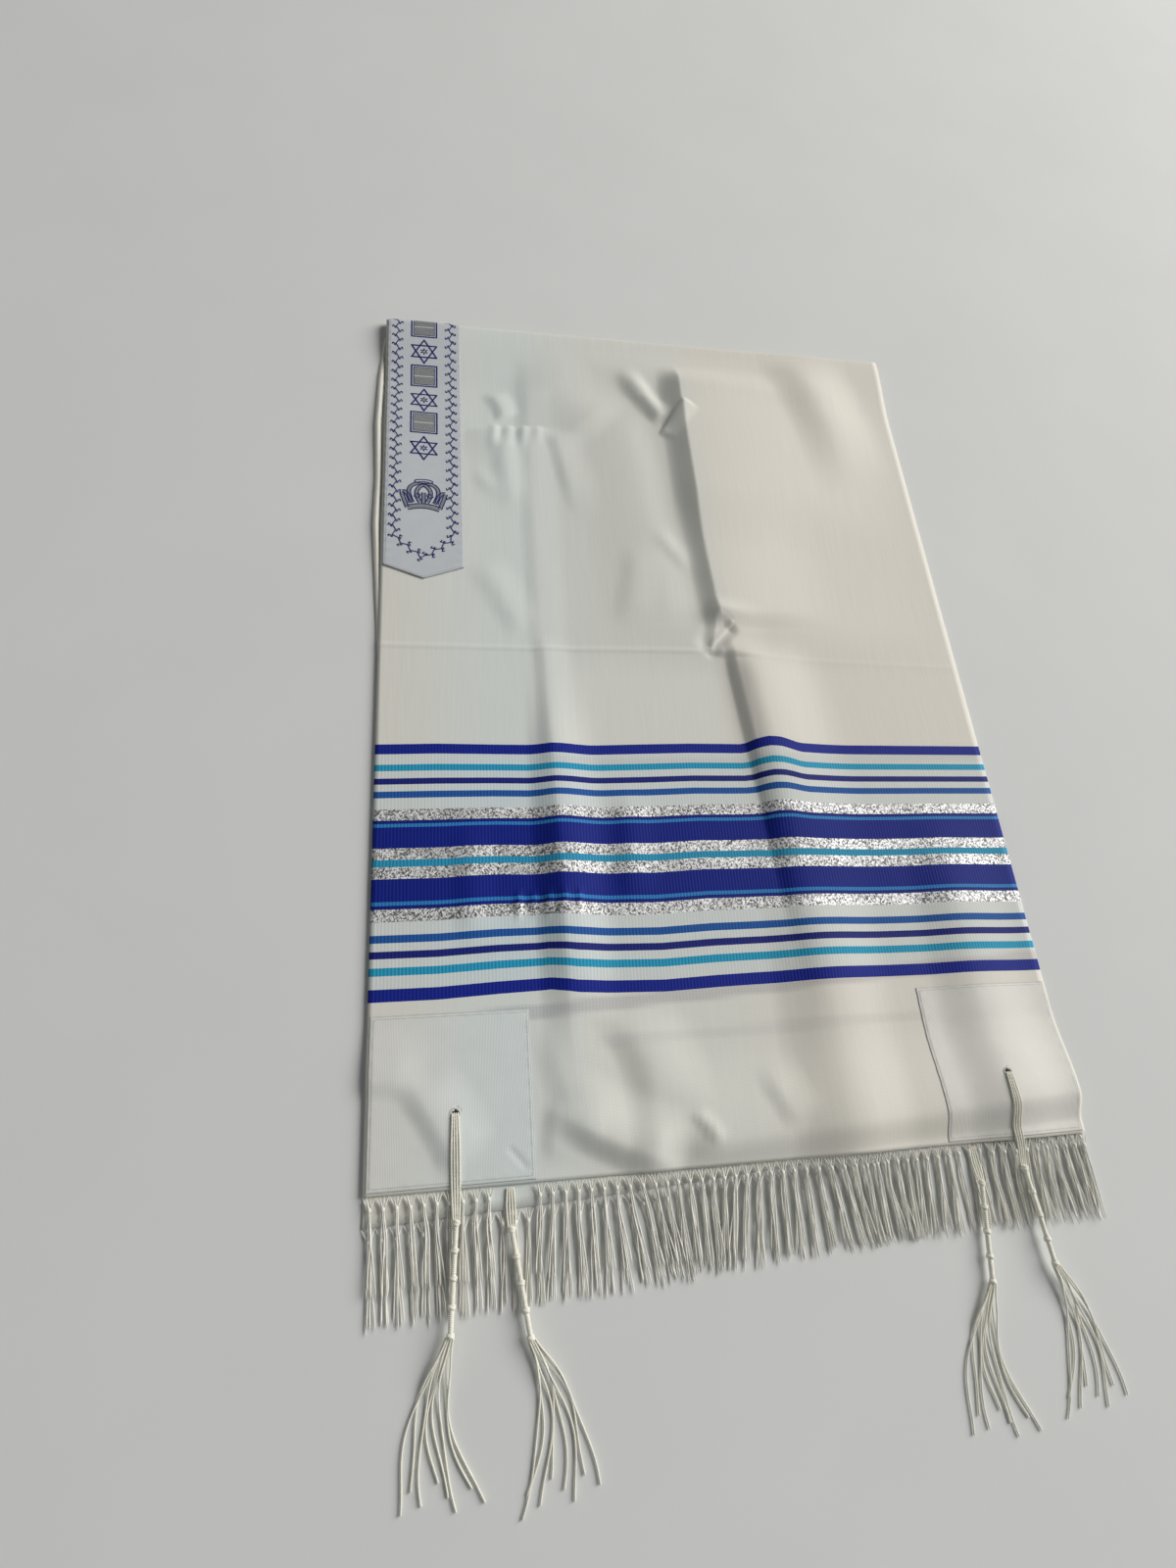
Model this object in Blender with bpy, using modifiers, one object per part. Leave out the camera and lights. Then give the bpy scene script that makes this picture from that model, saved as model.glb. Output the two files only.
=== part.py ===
# Tallit prayer shawl, cut 60 x 180 cm, folded in half across its length and laid flat.
# Metres, +Z up. X runs across the cloth from the neck edge and Y from the hem to the fold.
import math
from collections import namedtuple

import bmesh
import bpy
import numpy as np
from mathutils import Vector

# Cut of the cloth, and how thick each piece is built
WIDTH = 0.600
HALF_LENGTH = 0.900
WALL = 0.0015
TRIM_WALL = 0.0010
SEAM_GAP = 0.0003

# The soft roll where the shawl is folded in half
ROLL_HEIGHT = 0.0067
ROLL_REACH = 0.090
ROLL_DEPTH = 0.007
ROLL_STEPS = 7
ROLL_START = HALF_LENGTH - ROLL_DEPTH - WALL
LIP = 0.014

# Collar band, called the atarah, and the square corner patches
ATARAH_INSET = 0.002
ATARAH_WIDTH = 0.080
ATARAH_SHOULDER = 0.562
ATARAH_POINT = 0.015
ATARAH_TURNS = 5
PATCH_INSET = 0.002
PATCH_SIDE = 0.126
NARROWEST_CELL = 0.004
EYELET_FROM_EDGE = 0.0676
EYELET_FROM_HEM = 0.0526
EYELET_RADIUS = 0.003
CUTTER_HEIGHT = 0.060

# Fringe along each hem
FRINGE_STRANDS = 62
FRINGE_STRIP = 0.003
FRINGE_LENGTH = 0.068
FRINGE_HEIGHT = 0.0012
FRINGE_ROOT_WIDTH = 0.0022
FRINGE_TIP_WIDTH = 0.0015
FRINGE_SECTIONS = (0.25, 0.6, 1.0)
FRINGE_DROP = 0.6
FRINGE_PARTING = 0.016
SWAY_CALM = 0.06
FLOOR_CLEARANCE = 0.0004

# Corner tassels, called tzitzit
CORD_DIAMETER = 0.0010
CORD_SPACE = 0.0013
HEAD_LENGTH = 0.070
HEAD_RADIUS = 0.0018
KNOT_RADIUS = 0.0028
KNOT_HALF = 0.0024
KNOTS = 5
LOOSE_STRANDS = 8
LOOSE_LENGTH = 0.100
LOOSE_STAGGER = 0.004
LOOSE_SECTIONS = (0.0, 0.12, 0.35, 0.65, 1.0)
LOOSE_DROP = 0.5
LOOSE_BOW = 0.010
ROOT_PITCH = 0.0007
ROOT_LIFT = 0.0006
TIP_PITCH = 0.0072
STRINGS = 4
STRING_PITCH = 0.0013
STRING_BEND = 0.0023
STRING_BEND_BACK = 0.0034
STRING_STEPS = 8
HEM_OVERHANG = 0.008
HEM_START = -0.006
HEM_LEVEL_RUN = 0.014

# Folds of the upper layer. A crest runs from u0, v0 to u1, v1 and bows sideways at its middle.
# The cloth falls away over the reach before it, towards the neck edge, and the reach after it.
Fold = namedtuple("Fold", "name u0 v0 u1 v1 bow before after height fade0 fade1 crisp")
FOLDS = (
    Fold("great fold", 0.325, 0.885, 0.352, 0.440, -0.006, 0.032, 0.200, 0.020, 0.05, 0.10, 0.8),
    Fold("fold tail", 0.340, 0.540, 0.345, 0.060, 0.024, 0.036, 0.080, 0.021, 0.10, 0.33, 0.3),
    Fold("top tuck", 0.333, 0.850, 0.305, 0.748, 0.008, 0.016, 0.030, 0.008, 0.03, 0.02, 0.8),
    Fold("long crease", 0.156, 0.880, 0.156, 0.430, 0.0, 0.012, 0.024, 0.0025, 0.08, 0.05, 0.5),
    Fold("long crease low", 0.156, 0.480, 0.157, 0.060, 0.0, 0.012, 0.022, 0.0065, 0.04, 0.1, 0.5),
    Fold("far fold", 0.500, 0.890, 0.530, 0.620, 0.0, 0.045, 0.075, 0.013, 0.05, 0.14, 0.3),
    Fold("neck edge", 0.004, 0.830, 0.004, 0.500, 0.0, 0.030, 0.070, 0.0035, 0.08, 0.12, 0.0),
    Fold("patch fold", 0.046, 0.082, 0.076, 0.008, 0.0, 0.014, 0.036, 0.0035, 0.03, 0.02, 0.3),
    Fold("hem roll", 0.148, 0.052, 0.236, -0.014, -0.010, 0.018, 0.045, 0.007, 0.03, 0.03, 0.5),
    Fold("hem fold", 0.192, 0.128, 0.230, 0.006, 0.004, 0.024, 0.050, 0.008, 0.05, 0.02, 0.3),
    Fold("hem wave", 0.290, 0.110, 0.300, -0.020, 0.0, 0.040, 0.050, 0.006, 0.06, 0.03, 0.0),
    Fold("outer wave", 0.415, 0.260, 0.430, -0.030, 0.010, 0.050, 0.060, 0.007, 0.15, 0.03, 0.0),
    Fold("corner wave", 0.535, 0.330, 0.540, -0.030, -0.008, 0.045, 0.060, 0.006, 0.15, 0.03, 0.0),
)
CRISP_POWER = 1.7

# Grid lines of the upper layer, closer together where it folds
Section = namedtuple("Section", "start end steps")
COLUMNS = (
    Section(0.0, 0.042, 3),
    Section(0.042, 0.142, 5),
    Section(0.142, 0.178, 4),
    Section(0.178, 0.310, 6),
    Section(0.310, 0.382, 6),
    Section(0.382, 0.450, 2),
    Section(0.450, WIDTH, 6),
)
ROWS = (
    Section(0.0, 0.128, 6),
    Section(0.128, 0.440, 10),
    Section(0.440, 0.547, 4),
    Section(0.547, ATARAH_SHOULDER, 1),
    Section(ATARAH_SHOULDER, 0.738, 6),
    Section(0.738, 0.798, 3),
    Section(0.798, ROLL_START, 4),
)

# How far the lower layer shows past the upper one, along the neck edge and along the hem
NeckShow = namedtuple("NeckShow", "v out")
LOWER_NECK = (
    NeckShow(0.0, 0.0),
    NeckShow(0.25, -0.006),
    NeckShow(0.45, -0.001),
    NeckShow(0.56, 0.005),
    NeckShow(0.68, 0.008),
    NeckShow(0.80, 0.008),
    NeckShow(HALF_LENGTH, 0.0),
)
HemShow = namedtuple("HemShow", "u out")
LOWER_HEM = (
    HemShow(0.0, 0.021),
    HemShow(0.20, 0.013),
    HemShow(0.40, 0.001),
    HemShow(WIDTH, -0.006),
)
LOWER_COLUMNS = 9
LOWER_ROWS = 15

# Tassels: where each one's first knot lies, which way it points in degrees, and what it lies over
Tassel = namedtuple("Tassel", "name u start heading under from_eyelet")
TASSELS = (
    Tassel("tzitzit_upper_neck", EYELET_FROM_EDGE, -0.022, -4.0, 0.0038, True),
    Tassel("tzitzit_upper_outer", WIDTH - EYELET_FROM_EDGE, -0.022, 5.0, 0.0038, True),
    Tassel("tzitzit_lower_neck", 0.108, -0.030, 9.0, 0.0019, False),
    Tassel("tzitzit_lower_outer", WIDTH - 0.108, -0.030, -8.0, 0.0019, False),
)

MaterialLook = namedtuple("MaterialLook", "color roughness")
CLOTH = MaterialLook((0.72, 0.70, 0.65), 0.75)
SATIN = MaterialLook((0.62, 0.64, 0.68), 0.45)
PATCH_CLOTH = MaterialLook((0.66, 0.69, 0.70), 0.65)
YARN = MaterialLook((0.80, 0.79, 0.75), 0.80)


def smooth_step(t):
    """0 below 0, 1 above 1 and a smooth S between."""
    t = np.clip(t, 0.0, 1.0)
    return t * t * (3.0 - 2.0 * t)


def fold_height(fold, u, v):
    """Height that one fold adds at a point of the cloth."""
    du = fold.u1 - fold.u0
    dv = fold.v1 - fold.v0
    length = math.hypot(du, dv)
    along = ((u - fold.u0) * du + (v - fold.v0) * dv) / length
    across = ((v - fold.v0) * du - (u - fold.u0) * dv) / length
    across = across - fold.bow * np.sin(np.pi * np.clip(along / length, 0.0, 1.0))
    reach = np.where(across < 0.0, fold.before, fold.after)
    share = np.clip(np.abs(across) / reach, 0.0, 1.0)
    crisp = np.where(across < 0.0, fold.crisp, 0.0)
    profile = (1.0 - crisp) * (1.0 - smooth_step(share)) + crisp * (1.0 - share) ** CRISP_POWER
    fade = smooth_step(along / fold.fade0) * smooth_step((length - along) / fold.fade1)
    return fold.height * profile * fade


def lift(u, v):
    """Height of the upper layer above where it would lie flat: every fold, and the roll at the end."""
    total = sum(fold_height(fold, u, v) for fold in FOLDS)
    return total + ROLL_HEIGHT * smooth_step(1.0 - (ROLL_START - v) / ROLL_REACH)


def inner_point(u, v, turn):
    """Point on the inner face of the upper layer. turn goes from 0 to pi round the roll."""
    low = WALL
    high = WALL + SEAM_GAP + lift(u, v)
    middle = 0.5 * (low + high)
    y = v + ROLL_DEPTH * np.sin(turn)
    z = np.where(turn > 0.0, middle + (high - middle) * np.cos(turn), high)
    return np.stack(np.broadcast_arrays(u, y, z), axis=-1)


def stations(sections):
    """Every grid line of a table of sections."""
    lines = [np.linspace(s.start, s.end, s.steps, endpoint=False) for s in sections]
    return np.append(np.concatenate(lines), sections[-1].end)


def upper_grid():
    """Inner face of the upper layer: its rows, then those round the roll, and its lip."""
    u = stations(COLUMNS)
    flat = stations(ROWS)
    v = np.append(flat, np.full(ROLL_STEPS, ROLL_START))
    turn = np.append(np.zeros(len(flat) - 1), np.linspace(0.0, math.pi, ROLL_STEPS + 1))
    points = inner_point(u[None, :], v[:, None], turn[:, None])
    lip = points[-1:].copy()
    lip[..., 1] -= LIP
    return np.concatenate([points, lip])


def material(name, look):
    """A plain Principled material."""
    mat = bpy.data.materials.new(name)
    mat.use_nodes = True
    shader = mat.node_tree.nodes["Principled BSDF"]
    shader.inputs["Base Color"].default_value = (*look.color, 1.0)
    shader.inputs["Roughness"].default_value = look.roughness
    shader.inputs["Metallic"].default_value = 0.0
    mat.diffuse_color = (*look.color, 1.0)
    return mat


def object_from_bmesh(name, bm, mat, collection):
    """Object holding that mesh, in that collection."""
    mesh = bpy.data.meshes.new(name)
    bm.to_mesh(mesh)
    bm.free()
    obj = bpy.data.objects.new(name, mesh)
    collection.objects.link(obj)
    if mat is not None:
        mesh.materials.append(mat)
    return obj


def sheet_from_grid(name, points, wall, look, collection):
    """Cloth with that grid as its inner face and its wall added outwards."""
    rows, columns = points.shape[:2]
    bm = bmesh.new()
    bmesh.ops.create_grid(bm, x_segments=columns - 1, y_segments=rows - 1, size=0.5)
    for vert, place in zip(bm.verts, points.reshape(-1, 3)):
        vert.co = Vector(place)
    obj = object_from_bmesh(name, bm, material(name, look), collection)
    obj.data.shade_smooth()
    solidify = obj.modifiers.new("wall", "SOLIDIFY")
    solidify.thickness = wall
    solidify.offset = 1.0
    solidify.use_even_offset = True
    return obj


def evaluated_mesh(obj):
    """Copy of an object's mesh with its modifiers worked out."""
    return bpy.data.meshes.new_from_object(
        obj.evaluated_get(bpy.context.evaluated_depsgraph_get())
    )


def make_lower_half(collection):
    """Lower half of the cloth: it lies flat on the surface and shows at the neck edge and the hem."""
    u = np.linspace(0.0, WIDTH, LOWER_COLUMNS + 1)[None, :]
    v = np.linspace(0.0, ROLL_START - LIP - SEAM_GAP, LOWER_ROWS + 1)[:, None]
    neck = np.interp(v, [s.v for s in LOWER_NECK], [s.out for s in LOWER_NECK])
    x = u - neck * (1.0 - u / WIDTH)
    y = v - lower_hem_out(u) * (1.0 - v / HALF_LENGTH)
    points = np.stack([x, y, np.zeros_like(x)], axis=-1)
    return sheet_from_grid("lower_half", points, WALL, CLOTH, collection)


def lower_hem_out(u):
    """How far the lower hem lies past the upper one."""
    return np.interp(u, [s.u for s in LOWER_HEM], [s.out for s in LOWER_HEM])


def outer_face(obj, rows, columns):
    """Grid of the points on the outer, higher face that Solidify gave a layer."""
    places = np.array([v.co for v in evaluated_mesh(obj).vertices])
    faces = places[: 2 * rows * columns].reshape(2, rows, columns, 3)
    return max(faces, key=lambda face: face[..., 2].mean())


def grid_normals(points):
    """Outward unit normals of a grid of points, rows along the cloth and columns across it."""
    along = np.gradient(points, axis=0)
    across = np.gradient(points, axis=1)
    normal = np.cross(across, along)
    return normal / np.linalg.norm(normal, axis=-1, keepdims=True)


def between(grid, row, column):
    """Points of a grid at rows and columns that may lie between its own, blended in a straight line."""
    row_low = np.clip(np.floor(row).astype(int), 0, grid.shape[0] - 2)
    column_low = np.clip(np.floor(column).astype(int), 0, grid.shape[1] - 2)
    a = (row - row_low)[..., None]
    b = (column - column_low)[..., None]
    low = grid[row_low, column_low] * (1 - b) + grid[row_low, column_low + 1] * b
    high = grid[row_low + 1, column_low] * (1 - b) + grid[row_low + 1, column_low + 1] * b
    return low * (1 - a) + high * a


def trim_columns(start, end):
    """Grid lines of the upper layer between two edges, with the edges themselves."""
    lines = stations(COLUMNS)
    inside = lines[(lines > start + NARROWEST_CELL) & (lines < end - NARROWEST_CELL)]
    return np.concatenate([[start], inside, [end]])


def trim_grid(face, u, v_low, last_row):
    """Inner face of a piece that lies on the upper layer: the layer's own points, moved out.
    It runs from v_low to a row of the layer's grid, which may lie between two lines."""
    lines_u = stations(COLUMNS)
    lines_v = stations(ROWS)
    columns = np.interp(u, lines_u, np.arange(len(lines_u)))
    first = np.interp(v_low, lines_v, np.arange(len(lines_v)))
    inner = np.arange(math.floor(first.max()) + 1, math.ceil(last_row))
    rows = np.concatenate([first[None, :], np.tile(inner[:, None], (1, len(u)))])
    rows = np.append(rows, np.full((1, len(u)), float(last_row)), axis=0)
    moved = face + grid_normals(face) * SEAM_GAP
    return between(moved, rows, np.tile(columns, (len(rows), 1)))


def make_atarah(face, collection):
    """Collar band with a pointed end, sewn along the neck edge and taken round the roll."""
    u = trim_columns(ATARAH_INSET, ATARAH_INSET + ATARAH_WIDTH)
    off_middle = np.abs(u - ATARAH_INSET - 0.5 * ATARAH_WIDTH) / (0.5 * ATARAH_WIDTH)
    v_low = ATARAH_SHOULDER - ATARAH_POINT * (1.0 - off_middle)
    last_row = len(stations(ROWS)) - 1 + ATARAH_TURNS
    points = trim_grid(face, u, v_low, last_row)
    return sheet_from_grid("atarah", points, TRIM_WALL, SATIN, collection)


def make_patch(name, face, u_start, collection):
    """Square patch sewn on a corner, under the eyelet."""
    u = trim_columns(u_start, u_start + PATCH_SIDE)
    lines_v = stations(ROWS)
    last_row = np.interp(PATCH_INSET + PATCH_SIDE, lines_v, np.arange(len(lines_v)))
    points = trim_grid(face, u, np.full(len(u), PATCH_INSET), last_row)
    return sheet_from_grid(name, points, TRIM_WALL, PATCH_CLOTH, collection)


def eyelet_cutter(name, u, collection):
    """Cylinder that cuts one eyelet through the upper layer and its patch."""
    bm = bmesh.new()
    bmesh.ops.create_cone(
        bm,
        cap_ends=True,
        segments=12,
        radius1=EYELET_RADIUS,
        radius2=EYELET_RADIUS,
        depth=CUTTER_HEIGHT,
    )
    cutter = object_from_bmesh(name, bm, None, collection)
    cutter.location = (u, EYELET_FROM_HEM, 0.5 * CUTTER_HEIGHT - WALL)
    cutter.hide_render = True
    cutter.display_type = "WIRE"
    return cutter


def cut(obj, cutter):
    """Takes the cutter out of obj."""
    boolean = obj.modifiers.new("eyelet", "BOOLEAN")
    boolean.operation = "DIFFERENCE"
    boolean.solver = "EXACT"
    boolean.object = cutter


def strand_lean(u):
    """Sideways lean of the fringe at u, calm beside a tassel so that no strand lies in its way."""
    lean = math.radians(8.0) * math.sin(37.0 * u) + math.radians(2.0) * math.sin(118.0 * u + 2.0)
    calm = min(min(abs(u - t.u) / SWAY_CALM for t in TASSELS), 1.0)
    return math.tan(lean * calm)


def fringe_strip(bm, edges, hem_y, hem_z):
    """Narrow strip along a hem, made in cells between those edges. Returns the outer side of each."""
    corners = []
    for side, top in ((0.0, 0.0), (0.0, 1.0), (1.0, 1.0), (1.0, 0.0)):
        y = hem_y(edges[0]) - SEAM_GAP - side * FRINGE_STRIP
        corners.append(bm.verts.new((edges[0], y, hem_z(edges[0]) + top * FRINGE_HEIGHT)))
    made = bmesh.ops.extrude_face_region(bm, geom=[bm.faces.new(corners)])["geom"]
    end = [g for g in made if isinstance(g, bmesh.types.BMFace)][-1]
    outer_sides = []
    for k, u in enumerate(edges[1:]):
        if k > 0:
            end = bmesh.ops.extrude_discrete_faces(bm, faces=[end])["faces"][0]
        step = (u - edges[k], hem_y(u) - hem_y(edges[k]), hem_z(u) - hem_z(edges[k]))
        bmesh.ops.translate(bm, vec=step, verts=end.verts)
        sides = [f for edge in end.edges for f in edge.link_faces if f is not end]
        outer_sides.append(min(sides, key=lambda f: f.calc_center_median().y))
    bmesh.ops.recalc_face_normals(bm, faces=bm.faces)
    return outer_sides


def draw_strand(bm, root, u, hem_y, hem_z, rest):
    """Draws one strand out of its root face, down to where it rests."""
    drop = max(hem_z(u) + FRINGE_HEIGHT / 2 - rest, 0.0)
    face = root
    for share in FRINGE_SECTIONS:
        out = share * FRINGE_LENGTH
        x = u + strand_lean(u) * out
        y = hem_y(u) - SEAM_GAP - FRINGE_STRIP - out
        z = rest + drop * float(1.0 - smooth_step(share / FRINGE_DROP))
        width = FRINGE_ROOT_WIDTH + share * (FRINGE_TIP_WIDTH - FRINGE_ROOT_WIDTH)
        face = bmesh.ops.extrude_discrete_faces(bm, faces=[face])["faces"][0]
        middle = face.calc_center_median()
        for vert in face.verts:
            side = math.copysign(0.5, vert.co.x - middle.x)
            top = math.copysign(0.5, vert.co.z - middle.z)
            vert.co = Vector((x + side * width, y, z + top * FRINGE_HEIGHT))


def make_fringe(name, hem_y, hem_z, rest, parted, collection):
    """Strands fused into a narrow strip, which is parted from the cloth's hem by a seam's gap."""
    pitch = WIDTH / FRINGE_STRANDS
    middles = [pitch * (k + 0.5) for k in range(FRINGE_STRANDS)]
    middles = [u for u in middles if all(abs(u - p) > FRINGE_PARTING for p in parted)]
    edges = [0.0]
    for u in middles:
        edges += [u - FRINGE_ROOT_WIDTH / 2, u + FRINGE_ROOT_WIDTH / 2]
    edges.append(WIDTH)
    bm = bmesh.new()
    outer_sides = fringe_strip(bm, edges, hem_y, hem_z)
    for root, u in zip(outer_sides[1::2], middles):
        draw_strand(bm, root, u, hem_y, hem_z, rest)
    bmesh.ops.recalc_face_normals(bm, faces=bm.faces)
    return object_from_bmesh(name, bm, material(name, YARN), collection)


def tube(points, radii, resolution):
    """Closed mesh of a cord through those points, made as a curve with a bevel."""
    curve = bpy.data.curves.new("cord", "CURVE")
    curve.dimensions = "3D"
    curve.bevel_depth = 1.0
    curve.bevel_resolution = resolution
    curve.use_fill_caps = True
    spline = curve.splines.new("POLY")
    spline.points.add(len(points) - 1)
    for point, place, radius in zip(spline.points, points, radii):
        point.co = (*place, 1.0)
        point.radius = radius
    holder = bpy.data.objects.new("cord", curve)
    bpy.context.scene.collection.objects.link(holder)
    mesh = evaluated_mesh(holder)
    bpy.data.objects.remove(holder)
    bm = bmesh.new()
    bm.from_mesh(mesh)
    bmesh.ops.remove_doubles(bm, verts=bm.verts, dist=0.00001)
    bmesh.ops.recalc_face_normals(bm, faces=bm.faces)
    bm.to_mesh(mesh)
    bm.free()
    return mesh


def tassel_place(tassel, along, aside):
    """Point that far along a tassel and that far to its side, seen from above."""
    angle = math.radians(tassel.heading)
    x = tassel.u + along * math.sin(angle) + aside * math.cos(angle)
    y = tassel.start - along * math.cos(angle) + aside * math.sin(angle)
    return x, y


def head_path(tassel):
    """Centre line and radii of the wound head, thicker at each knot."""
    points = []
    radii = []
    for k in range(KNOTS):
        for side in (-1.0, 0.0, 1.0):
            along = k * HEAD_LENGTH / (KNOTS - 1) + side * KNOT_HALF
            points.append((*tassel_place(tassel, along, 0.0), tassel.under + KNOT_RADIUS))
            radii.append(KNOT_RADIUS if side == 0.0 else HEAD_RADIUS)
    return points, radii


def loose_path(tassel, strand):
    """A loose strand: it leaves the last knot, comes down to the floor and lies there."""
    place = strand - (LOOSE_STRANDS - 1) / 2
    length = LOOSE_LENGTH - LOOSE_STAGGER * ((strand * 3) % 5)
    rest = FLOOR_CLEARANCE + CORD_DIAMETER / 2
    high = tassel.under + KNOT_RADIUS + (ROOT_LIFT if strand % 2 else -ROOT_LIFT)
    points = []
    for share in LOOSE_SECTIONS:
        bow = math.copysign(LOOSE_BOW * math.sin(math.pi * share), tassel.heading)
        aside = place * (ROOT_PITCH + TIP_PITCH * share**1.2) + bow
        x, y = tassel_place(tassel, HEAD_LENGTH + share * length, aside)
        z = rest + (high - rest) * (1.0 - float(smooth_step(share / LOOSE_DROP)))
        points.append((x, y, z))
    return points


def string_side(string):
    """How far one of the strings lies beside the middle of its tassel."""
    return (string - (STRINGS - 1) / 2) * STRING_PITCH


def eyelet_path(tassel, string):
    """A string from the first knot over the hem and the patch, then in an arc down the eyelet."""
    x = tassel.u + string_side(string)
    above = WALL + TRIM_WALL + 2 * SEAM_GAP + CORD_SPACE
    bend_y = EYELET_FROM_HEM - STRING_BEND_BACK
    points = [(*tassel_place(tassel, 0.0, string_side(string)), tassel.under + KNOT_RADIUS)]
    for y in np.linspace(-HEM_OVERHANG, bend_y, STRING_STEPS):
        points.append((x, y, WALL + float(lift(x, max(y, 0.0))) + above))
    centre_z = points[-1][2] - STRING_BEND
    for turn in (30.0, 60.0, 90.0):
        angle = math.radians(turn)
        y = bend_y + STRING_BEND * math.sin(angle)
        points.append((x, y, centre_z + STRING_BEND * math.cos(angle)))
    points.append((x, bend_y + STRING_BEND, centre_z - TRIM_WALL))
    return points


def hem_path(tassel, string):
    """A string of a lower tassel, from under the upper hem to the first knot."""
    x = tassel.u + string_side(string)
    low = tassel.under + CORD_DIAMETER / 2
    return [
        (*tassel_place(tassel, 0.0, string_side(string)), tassel.under + KNOT_RADIUS),
        (x, tassel.start + HEM_LEVEL_RUN, low),
        (x, HEM_START, low),
    ]


def fuse(body, mesh):
    """Joins one more closed mesh to a body with a Boolean union."""
    tool = bpy.data.objects.new("strand", mesh)
    bpy.context.scene.collection.objects.link(tool)
    union = body.modifiers.new("strand", "BOOLEAN")
    union.operation = "UNION"
    union.solver = "MANIFOLD"
    union.object = tool
    fused = evaluated_mesh(body)
    body.modifiers.clear()
    body.data = fused
    bpy.data.objects.remove(tool)


def make_tassel(tassel, collection):
    """Knotted head with its loose strands and its strings, fused into one body."""
    body = bpy.data.objects.new(tassel.name, tube(*head_path(tassel), 2))
    collection.objects.link(body)
    string_path = eyelet_path if tassel.from_eyelet else hem_path
    paths = [loose_path(tassel, k) for k in range(LOOSE_STRANDS)]
    paths += [string_path(tassel, k) for k in range(STRINGS)]
    for path in paths:
        fuse(body, tube(path, [CORD_DIAMETER / 2] * len(path), 0))
    body.data.materials.clear()
    body.data.materials.append(material(tassel.name, YARN))
    return body


def origin_shift(objects):
    """Shift that stands the whole on z = 0, centred on the origin."""
    places = np.concatenate([[v.co for v in evaluated_mesh(obj).vertices] for obj in objects])
    low = places.min(axis=0)
    high = places.max(axis=0)
    return Vector((-(low[0] + high[0]) / 2, -(low[1] + high[1]) / 2, -low[2]))


for old in list(bpy.data.objects):
    bpy.data.objects.remove(old)

shawl = bpy.data.collections.new("tallit_prayer_shawl")
cutters = bpy.data.collections.new("cutters")
bpy.context.scene.collection.children.link(shawl)
bpy.context.scene.collection.children.link(cutters)

# The cloth and what is sewn on it
grid = upper_grid()
upper = sheet_from_grid("upper_half", grid, WALL, CLOTH, shawl)
face = outer_face(upper, *grid.shape[:2])
make_lower_half(shawl)
make_atarah(face, shawl)
neck_patch = make_patch("corner_patch_neck", face, PATCH_INSET, shawl)
outer_patch = make_patch("corner_patch_outer", face, WIDTH - PATCH_INSET - PATCH_SIDE, shawl)

# Eyelets through the upper layer and its patches
neck_cutter = eyelet_cutter("eyelet_neck_cutter", EYELET_FROM_EDGE, cutters)
outer_cutter = eyelet_cutter("eyelet_outer_cutter", WIDTH - EYELET_FROM_EDGE, cutters)
cut(upper, neck_cutter)
cut(upper, outer_cutter)
cut(neck_patch, neck_cutter)
cut(outer_patch, outer_cutter)

# Fringe along each hem, the upper one resting on the lower one
make_fringe(
    "fringe_upper",
    hem_y=lambda u: 0.0,
    hem_z=lambda u: float(WALL + SEAM_GAP + lift(u, 0.0)),
    rest=FLOOR_CLEARANCE + 1.5 * FRINGE_HEIGHT + SEAM_GAP,
    parted=[t.u for t in TASSELS if not t.from_eyelet],
    collection=shawl,
)
make_fringe(
    "fringe_lower",
    hem_y=lambda u: float(-lower_hem_out(u)),
    hem_z=lambda u: SEAM_GAP,
    rest=FLOOR_CLEARANCE + FRINGE_HEIGHT / 2,
    parted=[],
    collection=shawl,
)

for tassel in TASSELS:
    make_tassel(tassel, shawl)

shift = origin_shift(list(shawl.objects))
for obj in list(shawl.objects) + list(cutters.objects):
    obj.location = obj.location + shift
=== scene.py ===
import math
from collections import namedtuple

import bpy
import numpy as np
from mathutils import Matrix, Vector


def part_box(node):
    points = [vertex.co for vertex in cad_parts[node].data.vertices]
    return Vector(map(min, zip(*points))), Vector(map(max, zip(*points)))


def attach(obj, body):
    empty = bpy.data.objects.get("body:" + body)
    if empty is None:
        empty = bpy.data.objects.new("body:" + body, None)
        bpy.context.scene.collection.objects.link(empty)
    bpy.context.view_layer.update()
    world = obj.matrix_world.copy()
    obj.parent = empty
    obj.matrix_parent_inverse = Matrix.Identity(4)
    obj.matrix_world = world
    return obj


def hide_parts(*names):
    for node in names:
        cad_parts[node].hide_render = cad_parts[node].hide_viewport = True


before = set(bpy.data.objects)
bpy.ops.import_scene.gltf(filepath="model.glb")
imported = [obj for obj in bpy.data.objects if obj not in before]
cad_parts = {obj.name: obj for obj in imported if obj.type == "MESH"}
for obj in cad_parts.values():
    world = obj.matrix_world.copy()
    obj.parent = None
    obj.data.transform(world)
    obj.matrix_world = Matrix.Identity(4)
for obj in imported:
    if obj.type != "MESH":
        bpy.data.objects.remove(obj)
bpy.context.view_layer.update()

# Places on the cloth
# The shawl is one length of cloth, folded in half. On it, u runs across from the neck edge and
# t runs along from the hem, over the fold and on underneath. Metres.
EDGE_X, HEM_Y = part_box("upper_half")[0][:2]
WIDTH = 0.600
HALF_LENGTH = 0.900
CLOTH_TOP = 0.0033
CLOTH_THICK = 0.0011
ROLL_START = 0.8915
ROLL_OUT = 0.0085
ROLL_RADIUS = 0.0075
ROLL_HEIGHT = 0.0067
ROLL_REACH = 0.090
LIP = 0.014
DEEPEST_HOLLOW = -0.0006

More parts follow.
